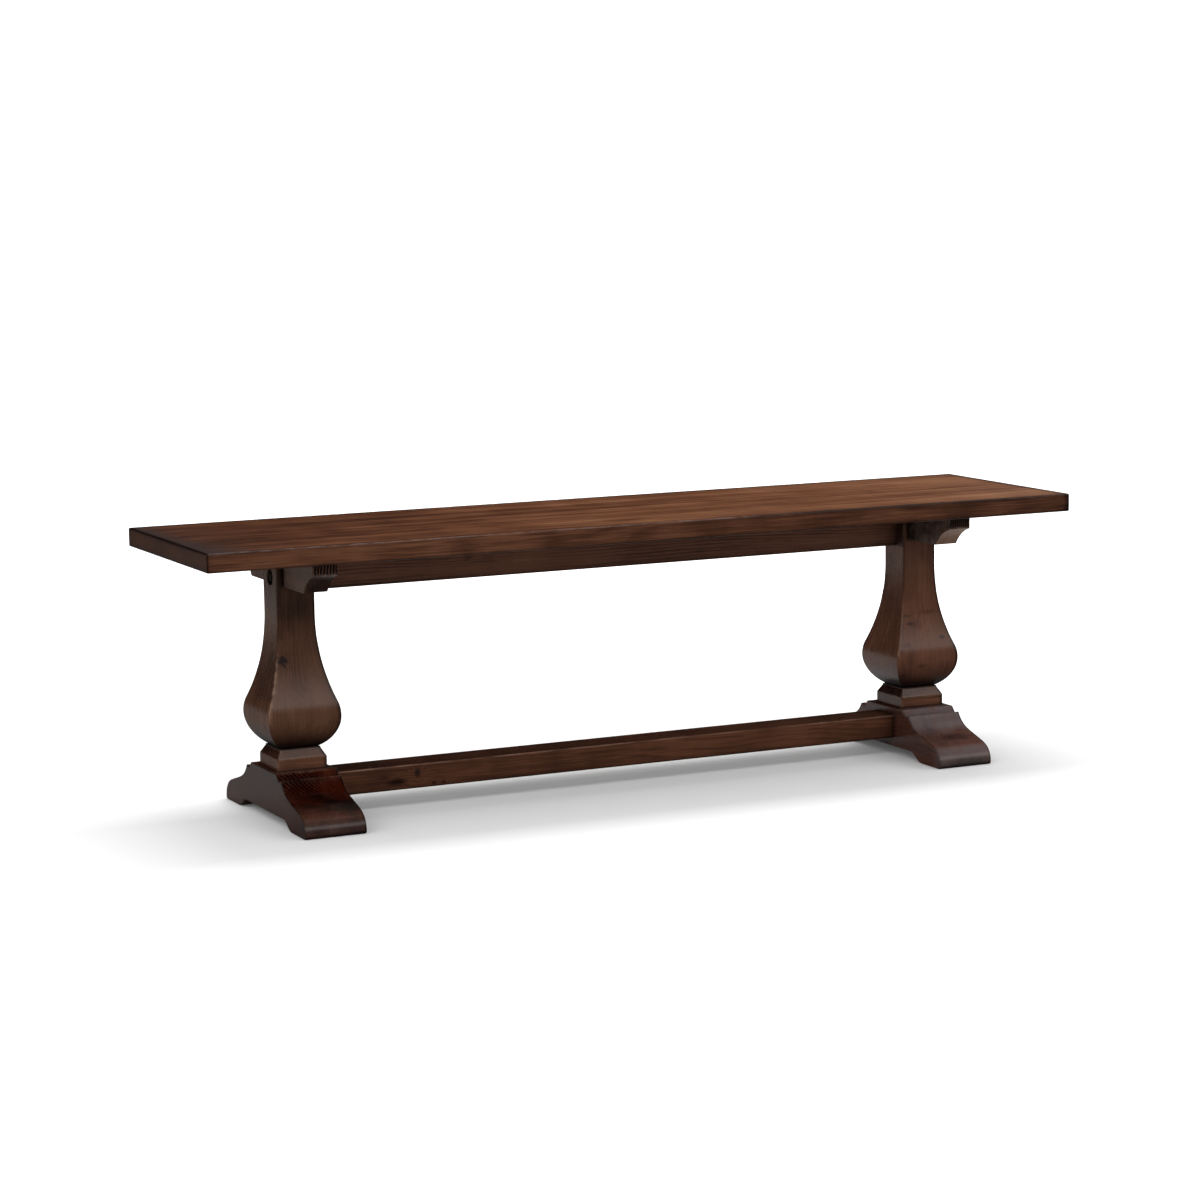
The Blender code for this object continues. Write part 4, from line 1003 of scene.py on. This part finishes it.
def foot_mesh():
    bm = extruded(foot_outline(), FOOT_HALF_X)
    round_edges(bm, lambda m, d: abs(m.x) > FOOT_HALF_X - 1e-5, 0.0017, 4)
    slice_at(bm, 0, spread(-FOOT_HALF_X + 0.004, FOOT_HALF_X - 0.004, 0.0065)
             + [-FOOT_HALF_X + 0.004, FOOT_HALF_X - 0.004])
    slice_at(bm, 1, spread(-FOOT_HALF_Y, FOOT_HALF_Y, 0.0065))
    slice_at(bm, 2, spread(0.0, COLLAR_Z0, 0.006))
    mesh = to_mesh(bm, "foot")
    cutters = [
        turned([(0, 0.005), (POST_BOLT_SINK_R + 0.0008, 0.005), (POST_BOLT_SINK_R + 0.0008, ARCH_Z),
                (POST_BOLT_SINK_R, ARCH_Z + 0.0008), (POST_BOLT_SINK_R, POST_BOLT_SINK_Z),
                (POST_BOLT_R + 0.0005, POST_BOLT_SINK_Z), (POST_BOLT_R + 0.0005, 0.100), (0, 0.100)], sides=48),
        to_mesh(block((FOOT_HALF_X - TENON_LENGTH - 2 * GAP, -TENON_HALF_Y - GAP, TENON_Z0 - GAP),
                      (FOOT_HALF_X + 0.010, TENON_HALF_Y + GAP, TENON_Z1 + GAP)), "mortise")]
    for y in (-POST_DOWEL_Y, POST_DOWEL_Y):
        cutters.append(hole(POST_DOWEL_R + GAP, POST_DOWEL_Z0 - 0.001, 0.100, "Z", (0, y, 0)))
    for y in (-LOCK_SCREW_Y, LOCK_SCREW_Y):
        cutters.append(screw_hole(ARCH_Z, 0.0006, TENON_Z0 + 0.004, LOCK_SCREW_X, y))
    mesh = cut(mesh, cutters)
    co, no = coordinates(mesh), normals(mesh)
    x, y, z = co.T
    # painted shade at the collar, in the quirk, at the stretcher joint and underneath
    outside = np.maximum(np.abs(x), np.abs(y)) - COLLAR_HALF
    at_collar = np.where(z > COLLAR_Z0 - 0.004, near(np.abs(outside) - np.where(np.abs(y) < COLLAR_HALF, 0.005, 0.0), 0.0040), 0)
    at_quirk = near(np.hypot(np.abs(y) - QUIRK[0], z - QUIRK[1]), 0.0022)
    at_stretcher = np.where((x > FOOT_HALF_X - 0.003),
                            near(np.maximum(np.abs(y) - STRETCHER_HALF_Y, 0) + np.maximum(np.maximum(STRETCHER_Z0 - z, z - STRETCHER_Z1), 0), 0.005), 0)
    below = np.clip(-no[:, 2], 0, 1) * 0.35
    mask(mesh, "painted_shade", np.maximum.reduce([0.85 * at_collar, 0.7 * at_quirk, 0.85 * at_stretcher, below]))
    # darker toward the floor as painted shade, and in a band across each slope
    slope = np.clip(np.abs(no[:, 1]) * 1.5, 0, 1) * np.clip((no[:, 2] - 0.2) / 0.4, 0, 1)
    mask(mesh, "dark_stain_and_shade", 0.22 * near(z, 0.006) + 0.30 * slope * near(np.abs(np.abs(y) - 0.132), 0.020))
    mask(mesh, "end_grain", np.abs(no[:, 1]) ** 3 * 0.6)
    return mesh


def bearer_mesh():
    cove = sagged_arc((BEARER_BOTTOM_HALF, BEARER_Z0), (BEARER_HALF_Y, BEARER_END_Z), BEARER_SAG, 20)
    half = eased((0, BEARER_Z0), cove[0], cove[3], 0.0012, 3) + cove[3:-3]
    half += eased(cove[-4], cove[-1], (BEARER_HALF_Y, UNDER_SEAT), 0.0010, 3)
    half += eased((BEARER_HALF_Y, BEARER_END_Z), (BEARER_HALF_Y, UNDER_SEAT), (0, UNDER_SEAT), 0.0008, 3)
    bm = extruded(mirrored(half), BEARER_HALF_X)
    round_edges(bm, lambda m, d: abs(m.x) > BEARER_HALF_X - 1e-5 and m.z < UNDER_SEAT - 1e-4, 0.0014, 4)
    slice_at(bm, 0, spread(-BEARER_HALF_X + 0.003, BEARER_HALF_X - 0.003, 0.006)
             + [-BEARER_HALF_X + 0.003, BEARER_HALF_X - 0.003])
    slice_at(bm, 1, spread(-BEARER_HALF_Y, BEARER_HALF_Y, 0.0065))
    slice_at(bm, 2, spread(BEARER_Z0, UNDER_SEAT, 0.0055))
    mesh = to_mesh(bm, "bearer")
    cutters = [hole(BOLT_R + 0.0004, -0.050, 0.050, "X", (0, 0, BOLT_Z))]
    for y in SEAT_SCREW_Y:
        cutters.append(screw_hole(BEARER_Z0, 0.010, UNDER_SEAT + 0.002, 0, y))
    mesh = cut(mesh, cutters)
    co, no = coordinates(mesh), normals(mesh)
    x, y, z = co.T
    # painted shade under the seat, in the post's slot, on the underside and in the cove, where it is darkest
    in_post = near(np.abs(y) - NECK_HALF, 0.0045)
    cove = np.clip(-no[:, 2] * 2, 0, 1) * np.clip(np.abs(no[:, 1]) * 2, 0, 1)
    mask(mesh, "painted_shade", np.maximum.reduce([0.75 * near(UNDER_SEAT - z, 0.0030), 0.9 * in_post,
                                          0.2 * np.clip(-no[:, 2], 0, 1), 0.60 * cove]))
    mask(mesh, "dark_stain_and_shade", 0.80 * cove)
    mask(mesh, "end_grain", np.clip((np.abs(no[:, 1]) - 0.85) / 0.12, 0, 1))
    # a painted sheen on the flanks
    mask(mesh, "painted_sheen", 0.50 * np.clip(np.abs(no[:, 0]) * 2 - 0.8, 0, 1))
    return mesh


def edge_masks(mesh, key, centre_x):
    """Lighter arrises, partly abraded finish and partly painted highlight, and darker arrises, partly dark stain and
    partly painted shade.
    """
    co, no = coordinates(mesh), normals(mesh)
    x, y, z = co.T
    x = x - centre_x
    front_left = (x < 0) & (y < 0)
    side = np.abs(no[:, 0])
    if key in ("post", "collar"):
        if key == "post":
            half = np.array([post_half_width(v) for v in z])
            strength = np.clip((z - 0.158) / 0.02, 0, 1) * np.clip((0.272 - z) / 0.02, 0, 1)
            reach = 0.0034
        else:
            slope = np.clip((z - COLLAR_BAND_Z) / (COLLAR_FILLET_Z - COLLAR_BAND_Z), 0, 1)
            half = COLLAR_HALF + (COLLAR_FILLET_HALF - COLLAR_HALF) * slope
            strength, reach = 0.8, 0.0018
        corner = np.hypot(half - np.abs(x), half - np.abs(y))
        abraded_and_lit = np.where(front_left, np.clip(1.2 - corner / reach, 0, 1) * strength, 0)
        edge_darkening = np.where(front_left, 0.45 * np.clip((z - 0.275) / 0.02, 0, 1), 1.0) * np.clip(1.4 - corner / 0.0030, 0, 1)
        if key == "collar":
            ridge = np.hypot(COLLAR_HALF - np.maximum(np.abs(x), np.abs(y)), z - COLLAR_BAND_Z)
            abraded_and_lit = np.maximum(abraded_and_lit, 0.6 * np.clip(1.2 - ridge / 0.0016, 0, 1))
    else:
        half, reach = (FOOT_HALF_X, 0.0032) if key == "foot" else (BEARER_HALF_X, 0.0024)
        rim = np.clip(1.25 - (half - np.abs(x)) / reach, 0, 1) * np.clip(1.3 - side, 0, 1)
        if key == "foot":
            ridge = np.minimum(np.hypot(np.abs(y) - FOOT_TOP_HALF, z - COLLAR_Z0),
                               np.hypot(np.abs(y) - LEDGE[0], z - LEDGE[1]))
            abraded_and_lit = np.maximum(0.15 * rim * (x < 0), 0.55 * np.clip(1.2 - ridge / 0.0018, 0, 1) * (z > 0.02))
            # the toes' bottom edges darken toward the floor: painted shade
            low = np.clip(1.4 - np.hypot(FOOT_HALF_Y - np.abs(y), z) / 0.006, 0, 1)
            edge_darkening = np.maximum(rim * np.where(x > 0, 1.0, 0.70), 0.8 * low)
        else:
            tip = np.hypot(np.abs(y) - BEARER_HALF_Y, z - BEARER_END_Z)
            abraded_and_lit = np.maximum(rim * (x < 0), np.clip(1.3 - tip / 0.0016, 0, 1)) * (z < UNDER_SEAT - 0.002)
            edge_darkening = rim * (x > 0) * 0.8
    mask(mesh, "arris", abraded_and_lit)
    mask(mesh, "dark_edge", edge_darkening)


def make_end(where, post, collar, foot, bearer):
    left = where == "left"
    move = Matrix.Translation((-POST_X if left else POST_X, 0, 0))
    if not left:
        move = move @ Matrix.Rotation(math.pi, 4, "Z")
    meshes = {}
    for key, mesh in (("post", post), ("collar", collar), ("foot", foot), ("bearer", bearer)):
        copy = mesh.copy()
        copy.transform(move)
        edge_masks(copy, key, move.translation.x)
        if key == "foot":
            co, no = coordinates(copy), normals(copy)
            across, y, z = co.T
            across = across - move.translation.x
            up = np.clip((no[:, 2] - 0.15) / 0.45, 0, 1)
            slope = up * np.clip((-0.058 - y) / 0.012, 0, 1)
            cove = np.clip((no[:, 2] - 0.03) / 0.12, 0, 1) * np.clip((-0.054 - y) / 0.004, 0, 1)
            toe = np.clip((-0.158 - y) / 0.016, 0, 1)
            ledge = np.clip((z - COLLAR_Z0 + 0.004) / 0.002, 0, 1) * (y < -COLLAR_HALF + 0.001) * near(-COLLAR_HALF - y - 0.003, 0.003)
            if left:
                mask(copy, "deep_stain", cove * np.clip((y + 0.150) / 0.022, 0, 1))
                mask(copy, "shade", 0.5 - 0.34 * cove * np.clip((y + 0.172) / 0.014, 0, 1) * np.clip((-0.118 - y) / 0.016, 0, 1))
                mask(copy, "striped", cove * np.clip((0.026 - across) / 0.034, 0, 1) * np.clip((y + 0.130) / 0.022, 0, 1))
                # a grey painted sheen on the outer face, the ledge and the toe
                outer = np.clip(-no[:, 0], 0, 1) ** 2 * (across < 0)
                mask(copy, "painted_sheen", np.maximum.reduce([0.75 * ledge, 0.10 * toe,
                                                      outer * np.interp(z, (0.0, 0.045, 0.070), (0.48, 0.50, 0.62))]))
            else:
                # a grey painted sheen on the ledge, the step, the toe and the -X face, and on the cove, strongest at
                # its top
                step = np.clip((z - 0.0695) / 0.0015, 0, 1) * (y < -COLLAR_HALF) * np.clip((no[:, 2] - 0.2) / 0.3, 0, 1)
                sheen = 0.55 * np.clip((y + 0.125) / 0.030, 0, 1) + 0.15
                mask(copy, "painted_sheen", np.maximum.reduce([0.55 * ledge, 0.55 * step, 0.62 * toe, cove * sheen,
                                                      0.10 * np.clip(-no[:, 0], 0, 1) * (across < 0)]))
        if key == "post":
            co = coordinates(copy)
            half = np.array([post_half_width(v) for v in co[:, 2]])
            inset = half - (co[:, 0] - move.translation.x)
            # painted shade along the front face's inner edge
            remask(copy, "dark_stain_and_shade", np.maximum(masked(copy, "dark_stain_and_shade"), 0.55 * near(inset, 0.007) * (co[:, 1] < 0)))
            # the faces turned to -X are painted darker at the shoulder and lighter at the neck on the left post, and
            # lighter on the right post: painted light and shade
            face = np.clip(-normals(copy)[:, 0], 0, 1) ** 2
            height = co[:, 2]
            if left:
                mask(copy, "shade", 0.5 + face * np.interp(height, (0.165, 0.20, 0.27, 0.31), (0.14, -0.12, -0.09, 0.25)))
            else:
                mask(copy, "shade", 0.5 + face * 0.23)
                # painted shade on the -X face from the apron up, and a painted highlight on the front corner on that
                # side
                above = np.clip((height - APRON_Z0 + 0.004) / 0.006, 0, 1)
                remask(copy, "painted_shade", np.maximum(masked(copy, "painted_shade"), 0.85 * face * above))
                corner = np.hypot(half + (co[:, 0] - move.translation.x), half + co[:, 1])
                remask(copy, "arris", np.maximum(0.40 * masked(copy, "arris"), 0.7 * above * np.clip(1.2 - corner / 0.0028, 0, 1)))
        if key == "bearer" and not left:
            co, no = coordinates(copy), normals(copy)
            y = co[:, 1]
            # a light painted sheen in the front cove, and painted shade on the flank toward the post
            cove = np.clip(-no[:, 2] * 2, 0, 1) * np.clip(np.abs(no[:, 1]) * 2, 0, 1) * (y < 0)
            flank = np.clip(np.abs(no[:, 0]) * 2 - 0.8, 0, 1)
            remask(copy, "painted_sheen", cove * np.interp(co[:, 2], (BEARER_Z0 + 0.004, BEARER_END_Z - 0.004), (0.30, 0.90)))
            remask(copy, "dark_stain_and_shade", masked(copy, "dark_stain_and_shade") * (y > 0) + flank * np.interp(y, (-0.125, -0.045), (0.50, 1.0)))
            remask(copy, "painted_shade", np.where(cove > 0.3, 0.15, masked(copy, "painted_shade")) + 0.55 * flank * np.interp(y, (-0.105, -0.045), (0.0, 1.0)) * (y < 0))
        meshes[key] = copy
    x = -POST_X if left else POST_X
    if left:
        knots = (((-0.6005, -0.0380, 0.2566), (0.0112, 0.016, 0.0086), 0.97, 2.4),)
        marks = (((-0.5747, -0.0306, 0.3370), (0.040, 0.030, 0.032), 0.60, (0.50, 0.52, 0.58), True),)
    else:
        knots = (((0.5263, -0.0560, 0.1420), (0.0030, 0.010, 0.0034), 0.6, 0.4),)
        marks = (((0.5592, -0.0520, 0.2280), (0.016, 0.020, 0.012), 0.55, (0.5, 0.46, 0.48), True),
                 ((0.5400, -0.0450, 0.2434), (0.012, 0.020, 0.0030), 0.80, (0.34, 0.32, 0.35), True),
                 ((0.5470, -0.0500, 0.2300), (0.0090, 0.020, 0.0032), 0.85, (0.30, 0.28, 0.32), True),
                 ((0.6062, -0.0570, 0.2035), (0.0070, 0.020, 0.0040), 0.95, (0.18, 0.17, 0.22), True),
                 ((0.5340, -0.0600, 0.1950), (0.0100, 0.020, 0.0060), 0.75, (0.36, 0.34, 0.38), True),
                 ((0.5600, -0.0570, 0.1570), (0.0160, 0.020, 0.0050), 0.60, (0.42, 0.38, 0.36), True),
                 ((0.5820, -0.0400, 0.2480), (0.0260, 0.020, 0.0050), 0.55, (0.50, 0.42, 0.40), True),
                 ((0.5120, 0.0262, 0.1773), (0.020, 0.0060, 0.0070), 0.70, (0.40, 0.36, 0.36), True),
                 ((0.5410, 0.0086, 0.3350), (0.020, 0.0100, 0.0180), 0.55, (0.52, 0.50, 0.50), True),
                 ((0.5300, 0.0000, 0.2600), (0.030, 0.0180, 0.0300), 0.55, (0.55, 0.50, 0.48), True))
    piece("post_%s_wood" % where, meshes["post"],
          wood("stain_post_" + where, "Z", (x + (0.020 if left else -0.030), 0.085), 11.0 if left else 12.7,
               BASE_TONES, ring=0.0048, tilt=(0.02, -0.03), streak=0.42, fibre=0.34, blotch=0.62 if left else 0.76,
               cross=0.32, lines=0.08, knots=knots, marks=marks, rough=0.27, abrasion_and_highlight=0.75, shade=1.0,
               tint=(0.86, 0.91, 0.93) if left else (1.03, 0.99, 1.04), girth=x),
          "post_" + where)
    # the collar's sheen colour paints the grey sheen on its front and back chamfers
    piece("collar_block_%s_wood" % where, meshes["collar"],
          wood("stain_collar_block_" + where, "X", (0.06, 0.05), 14.0 if left else 15.3, BASE_TONES,
               ring=0.005, streak=0.7, fibre=0.7, blotch=0.6, cross=0.3, lines=0.14, rough=0.22, abrasion_and_highlight=0.5,
               painted_sheen=(0.062, 0.054, 0.054)),
          "collar_block_" + where)
    if left:
        foot_marks = (((-0.5680, -0.116, 0.050), (0.034, 0.024, 0.020), 0.95, (0.28, 0.42, 0.55), True),
                      ((-0.5950, -0.138, 0.046), (0.020, 0.012, 0.016), 0.8, (0.30, 0.40, 0.48), True),
                      ((-0.5420, -0.148, 0.040), (0.044, 0.026, 0.030), 0.95, (0.60, 1.08, 1.30), True),
                      ((-0.5800, -0.180, 0.014), (0.085, 0.024, 0.030), 0.95, (0.60, 0.92, 1.15), True),
                      ((-0.6000, -0.183, 0.012), (0.022, 0.010, 0.010), 0.80, (0.50, 0.50, 0.62), True),
                      ((-0.5550, -0.130, 0.046), (0.016, 0.010, 0.016), 0.85, (0.30, 0.38, 0.42), True))
        heart = (-0.022, -0.654)
    else:
        foot_marks = (((0.5850, -0.134, 0.044), (0.042, 0.015, 0.020), 0.85, (0.36, 0.34, 0.36), True),
                      ((0.6050, -0.112, 0.049), (0.020, 0.016, 0.016), 0.70, (0.75, 0.52, 0.45), True),
                      ((0.5750, -0.184, 0.007), (0.085, 0.014, 0.016), 0.90, (0.42, 0.48, 0.46), True),
                      ((0.5480, -0.105, 0.055), (0.018, 0.022, 0.020), 0.60, (0.62, 0.66, 0.80), True))
        heart = (0.150, 0.700)
    # the feet's sheen colours paint their grey sheen
    piece("foot_%s_wood" % where, meshes["foot"],
          wood("stain_foot_" + where, "Y", heart, 17.0 if left else 18.9, FOOT_TONES,
               ring=0.0036 if left else 0.0060, tilt=(0.0, 0.0) if left else (0.05, -0.04), streak=0.7, fibre=0.6,
               blotch=0.8, cross=0.2, lines=0.30 if left else 0.18, marks=foot_marks, rough=0.14 if left else 0.18, abrasion_and_highlight=0.5,
               deep=(0.34, 0.135, 0.085) if left else None, painted_sheen=(0.0285, 0.0285, 0.0290) if left else (0.070, 0.059, 0.060),
               shade=1.0 if left else 0.0, stripes=((0.69, 0.72, 0.0), 0.0050) if left else None),
          "foot_" + where)
    # the left bearer is tinted much lighter than the right one, with a lighter sheen colour: painted light
    piece("cross_bearer_%s_wood" % where, meshes["bearer"],
          wood("stain_cross_bearer_" + where, "Y", (0.405, x + (0.09 if left else 0.07)), 20.0 if left else 21.6,
               BASE_TONES, ring=0.0046, tilt=(0.01, 0.0), streak=0.7, fibre=0.8, blotch=0.6, cross=0.2,
               lines=0.20, rough=0.46, abrasion_and_highlight=0.75, abrasion_and_highlight_tint=(0.17, 0.125, 0.10), end_lines=1.0,
               painted_sheen=(0.120, 0.088, 0.072) if left else (0.265, 0.165, 0.115),
               tint=(2.00, 2.00, 1.95) if left else (1.30, 1.32, 1.34)),
          "cross_bearer_" + where)


def dress_fasteners():
    """The fasteners and dowels keep their shapes and get their finishes."""
    zinc = metal("zinc_plate", (0.50, 0.50, 0.51), (0.34, 0.34, 0.36), 0.34)
    bronzed = metal("bronzed_steel", (0.022, 0.0135, 0.0095), (0.008, 0.0058, 0.0050), 0.62, bright=False)
    brass = metal("insert_brass", (0.62, 0.45, 0.18), (0.40, 0.28, 0.11), 0.32)
    beech = {k: raw_dowel("beech_%s" % "xyz"[k], k) for k in (0, 2)}
    for name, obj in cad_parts.items():
        if obj.hide_render:
            continue
        if "dowel" in name:
            finish = beech[0 if name.startswith("apron") else 2]
        elif "insert" in name:
            finish = brass
        elif name.startswith("apron_bolt"):
            finish = bronzed
        else:
            finish = zinc
        if obj.material_slots:
            for s in obj.material_slots:
                s.material = finish
        else:
            obj.data.materials.append(finish)


for board in range(3):
    seat_board(board)
apron_rail()
lower_stretcher()
END_MESHES = (post_mesh(), collar_mesh(), foot_mesh(), bearer_mesh())
for END in ("left", "right"):
    make_end(END, *END_MESHES)
for MESH in END_MESHES:
    bpy.data.meshes.remove(MESH)
dress_fasteners()


# ------------------------------------------------------------ floor and light
def make_floor():
    """White floor to the eye; what it throws back on the bench is the dimmer light of a studio
    floor that ends a little way in front of the bench."""
    bm = bmesh.new()
    bmesh.ops.create_grid(bm, x_segments=8, y_segments=8, size=30.0)
    mesh = to_mesh(bm, "floor")
    t = Tree("white_floor")
    place = t.node("ShaderNodeTexCoord").outputs["Object"]
    split = t.node("ShaderNodeSeparateXYZ")
    t.put(split.inputs[0], place)
    path = t.node("ShaderNodeLightPath")
    left = t.mix(t.smooth(split.outputs[1], 0.35, 0.80), (FLOOR_NEAR,) * 3, (FLOOR_BACK,) * 3)
    slant = t.math("MULTIPLY_ADD", split.outputs[1], 0.483, split.outputs[0])
    back = t.mix(t.smooth(slant, -0.35, -0.05), left, (FLOOR_RIGHT,) * 3)
    gloss = t.mix(t.smooth(split.outputs[1], -0.15, 0.05), (FLOOR_FRONT,) * 3, back)
    gloss = t.mix(t.smooth(split.outputs[1], 2.4, 3.0), gloss, (FLOOR_FAR,) * 3)
    unseen = t.mix(path.outputs["Is Glossy Ray"], (FLOOR_BOUNCE,) * 3, gloss)
    t.put(t.shader.inputs["Base Color"], t.mix(path.outputs["Is Camera Ray"], unseen, (FLOOR_SEEN,) * 3))
    t.shader.inputs["Roughness"].default_value = 0.9
    t.shader.inputs["Specular IOR Level"].default_value = 0.0
    # it brightens to plain white away from the bench
    far = t.smooth(t.vector("LENGTH", place), 0.95, 2.0)
    glow = t.math("ADD", FLOOR_GLOW, t.math("MULTIPLY", far, 0.7))
    t.shader.inputs["Emission Color"].default_value = (1.0, 1.0, 1.0, 1.0)
    t.put(t.shader.inputs["Emission Strength"], t.math("MULTIPLY", glow, path.outputs["Is Camera Ray"]))
    # nothing of it shows from below
    clear = t.node("ShaderNodeBsdfTransparent")
    both = t.node("ShaderNodeMixShader")
    t.put(both.inputs[0], t.node("ShaderNodeNewGeometry").outputs["Backfacing"])
    t.put(both.inputs[1], t.shader.outputs[0])
    t.put(both.inputs[2], clear.outputs[0])
    t.put(next(n for n in t.tree.nodes if n.type == "OUTPUT_MATERIAL").inputs["Surface"], both.outputs[0])
    mesh.materials.append(t.material)
    floor = bpy.data.objects.new("floor", mesh)
    floor.location = (0, 0, -0.0002)
    bpy.context.scene.collection.objects.link(floor)


FLOOR_SEEN, FLOOR_GLOW, FLOOR_BOUNCE = 0.52, 0.06, 0.36
FLOOR_FRONT, FLOOR_NEAR, FLOOR_BACK, FLOOR_RIGHT, FLOOR_FAR = 0.035, 0.12, 0.11, 0.38, 0.012
FRONT_LIGHT, LEFT_LIGHT, TOP_LIGHT, DARK, SIDE_GLOW, LAMP = 3.4, 1.00, 1.2, 0.004, 0.18, 110.0
LOW_FILL, BACK_FILL = 0.85, 1.0


def make_light():
    """A broad light in front, well above the horizon, weaker ones at the left and overhead
    behind, a faint glow far right, and a long soft lamp overhead from a little behind."""
    world = bpy.data.worlds.new("studio")
    bpy.context.scene.world = world
    world.use_nodes = True
    tree = world.node_tree
    tree.nodes.clear()

    def node(kind, **props):
        n = tree.nodes.new(kind)
        for k, v in props.items():
            setattr(n, k, v)
        return n

    def put(socket, value):
        if isinstance(value, bpy.types.NodeSocket):
            tree.links.new(value, socket)
        else:
            socket.default_value = value

    def calc(operation, a, b):
        n = node("ShaderNodeMath", operation=operation)
        put(n.inputs[0], a)
        put(n.inputs[1], b)
        return n.outputs[0]

    def step(value, low, high):
        n = node("ShaderNodeMapRange", interpolation_type="SMOOTHSTEP")
        for name, v in (("Value", value), ("From Min", low), ("From Max", high),
                        ("To Min", 0.0), ("To Max", 1.0)):
            put(n.inputs[name], v)
        return n.outputs["Result"]

    def product(*values):
        out = values[0]
        for v in values[1:]:
            out = calc("MULTIPLY", out, v)
        return out

    parts = node("ShaderNodeSeparateXYZ")
    put(parts.inputs[0], node("ShaderNodeTexCoord").outputs["Generated"])
    x, y, z = parts.outputs
    front = step(calc("MULTIPLY", y, -1.0), -0.15, 0.35)
    behind = calc("SUBTRACT", 1.0, front)
    bright = product(front, step(z, 0.27, 0.45), calc("SUBTRACT", 1.0, step(z, 0.54, 0.72)), FRONT_LIGHT)
    over = product(behind, step(z, 0.70, 0.95), TOP_LIGHT)
    glow = product(behind, step(x, 0.50, 0.60), SIDE_GLOW)
    left = product(step(calc("MULTIPLY", x, -1.0), 0.55, 0.85), step(z, 0.30, 0.45), LEFT_LIGHT)
    # walls of the room: they light the wood but are too dull to shine in it
    path = node("ShaderNodeLightPath")
    matt = calc("SUBTRACT", 1.0, path.outputs["Is Glossy Ray"])
    low = product(front, calc("SUBTRACT", 1.0, step(z, 0.27, 0.43)), step(z, 0.0, 0.05), matt, LOW_FILL)
    wall = product(behind, step(z, 0.25, 0.45), matt, BACK_FILL)
    high = product(front, step(z, 0.54, 0.72), calc("SUBTRACT", 1.0, step(z, 0.70, 0.90)), matt, FRONT_LIGHT)
    total = calc("ADD", calc("ADD", calc("ADD", bright, left), over), calc("ADD", glow, DARK))
    total = calc("ADD", total, calc("ADD", calc("ADD", low, high), wall))
    studio = node("ShaderNodeBackground")
    studio.inputs["Color"].default_value = (1.0, 1.0, 1.0, 1.0)
    put(studio.inputs["Strength"], total)
    white = node("ShaderNodeBackground")
    white.inputs["Color"].default_value = (1.0, 1.0, 1.0, 1.0)
    white.inputs["Strength"].default_value = 1.05
    mix = node("ShaderNodeMixShader")
    out = node("ShaderNodeOutputWorld")
    put(mix.inputs[0], path.outputs["Is Camera Ray"])
    put(mix.inputs[1], studio.outputs[0])
    put(mix.inputs[2], white.outputs[0])
    put(out.inputs["Surface"], mix.outputs[0])

    lamp = bpy.data.lights.new("overhead", "AREA")
    lamp.energy = LAMP
    lamp.shape = "RECTANGLE"
    lamp.size, lamp.size_y = 3.2, 1.0
    overhead = bpy.data.objects.new("overhead", lamp)
    overhead.location = (0.60, 0.66, 3.2)
    overhead.rotation_euler = (math.atan2(-0.66, 2.75), 0.0, 0.0)
    overhead.visible_camera = False
    overhead.visible_glossy = False
    bpy.context.scene.collection.objects.link(overhead)


def make_camera():
    yaw, pitch, roll = (math.radians(a) for a in (25.72004, 8.22207, -0.70016))
    forward = Vector((math.sin(yaw) * math.cos(pitch), math.cos(yaw) * math.cos(pitch), -math.sin(pitch)))
    right = Vector((math.cos(yaw), -math.sin(yaw), 0.0))
    up = right.cross(forward)
    right, up = (right * math.cos(roll) + up * math.sin(roll),
                 up * math.cos(roll) - right * math.sin(roll))
    data = bpy.data.cameras.new("camera")
    data.sensor_width = 36.0
    data.sensor_fit = "AUTO"
    data.lens = 36.0 * 3214.49 / 1200.0
    data.clip_end = 200.0
    camera = bpy.data.objects.new("camera", data)
    turn = Matrix((right, up, -forward)).transposed().to_4x4()
    camera.matrix_world = Matrix.Translation((-2.31765, -4.75744, 1.07124)) @ turn
    bpy.context.scene.collection.objects.link(camera)
    bpy.context.scene.camera = camera


make_floor()
make_light()
make_camera()
bpy.context.scene.view_settings.view_transform = "Standard"
bpy.context.scene.view_settings.look = "None"
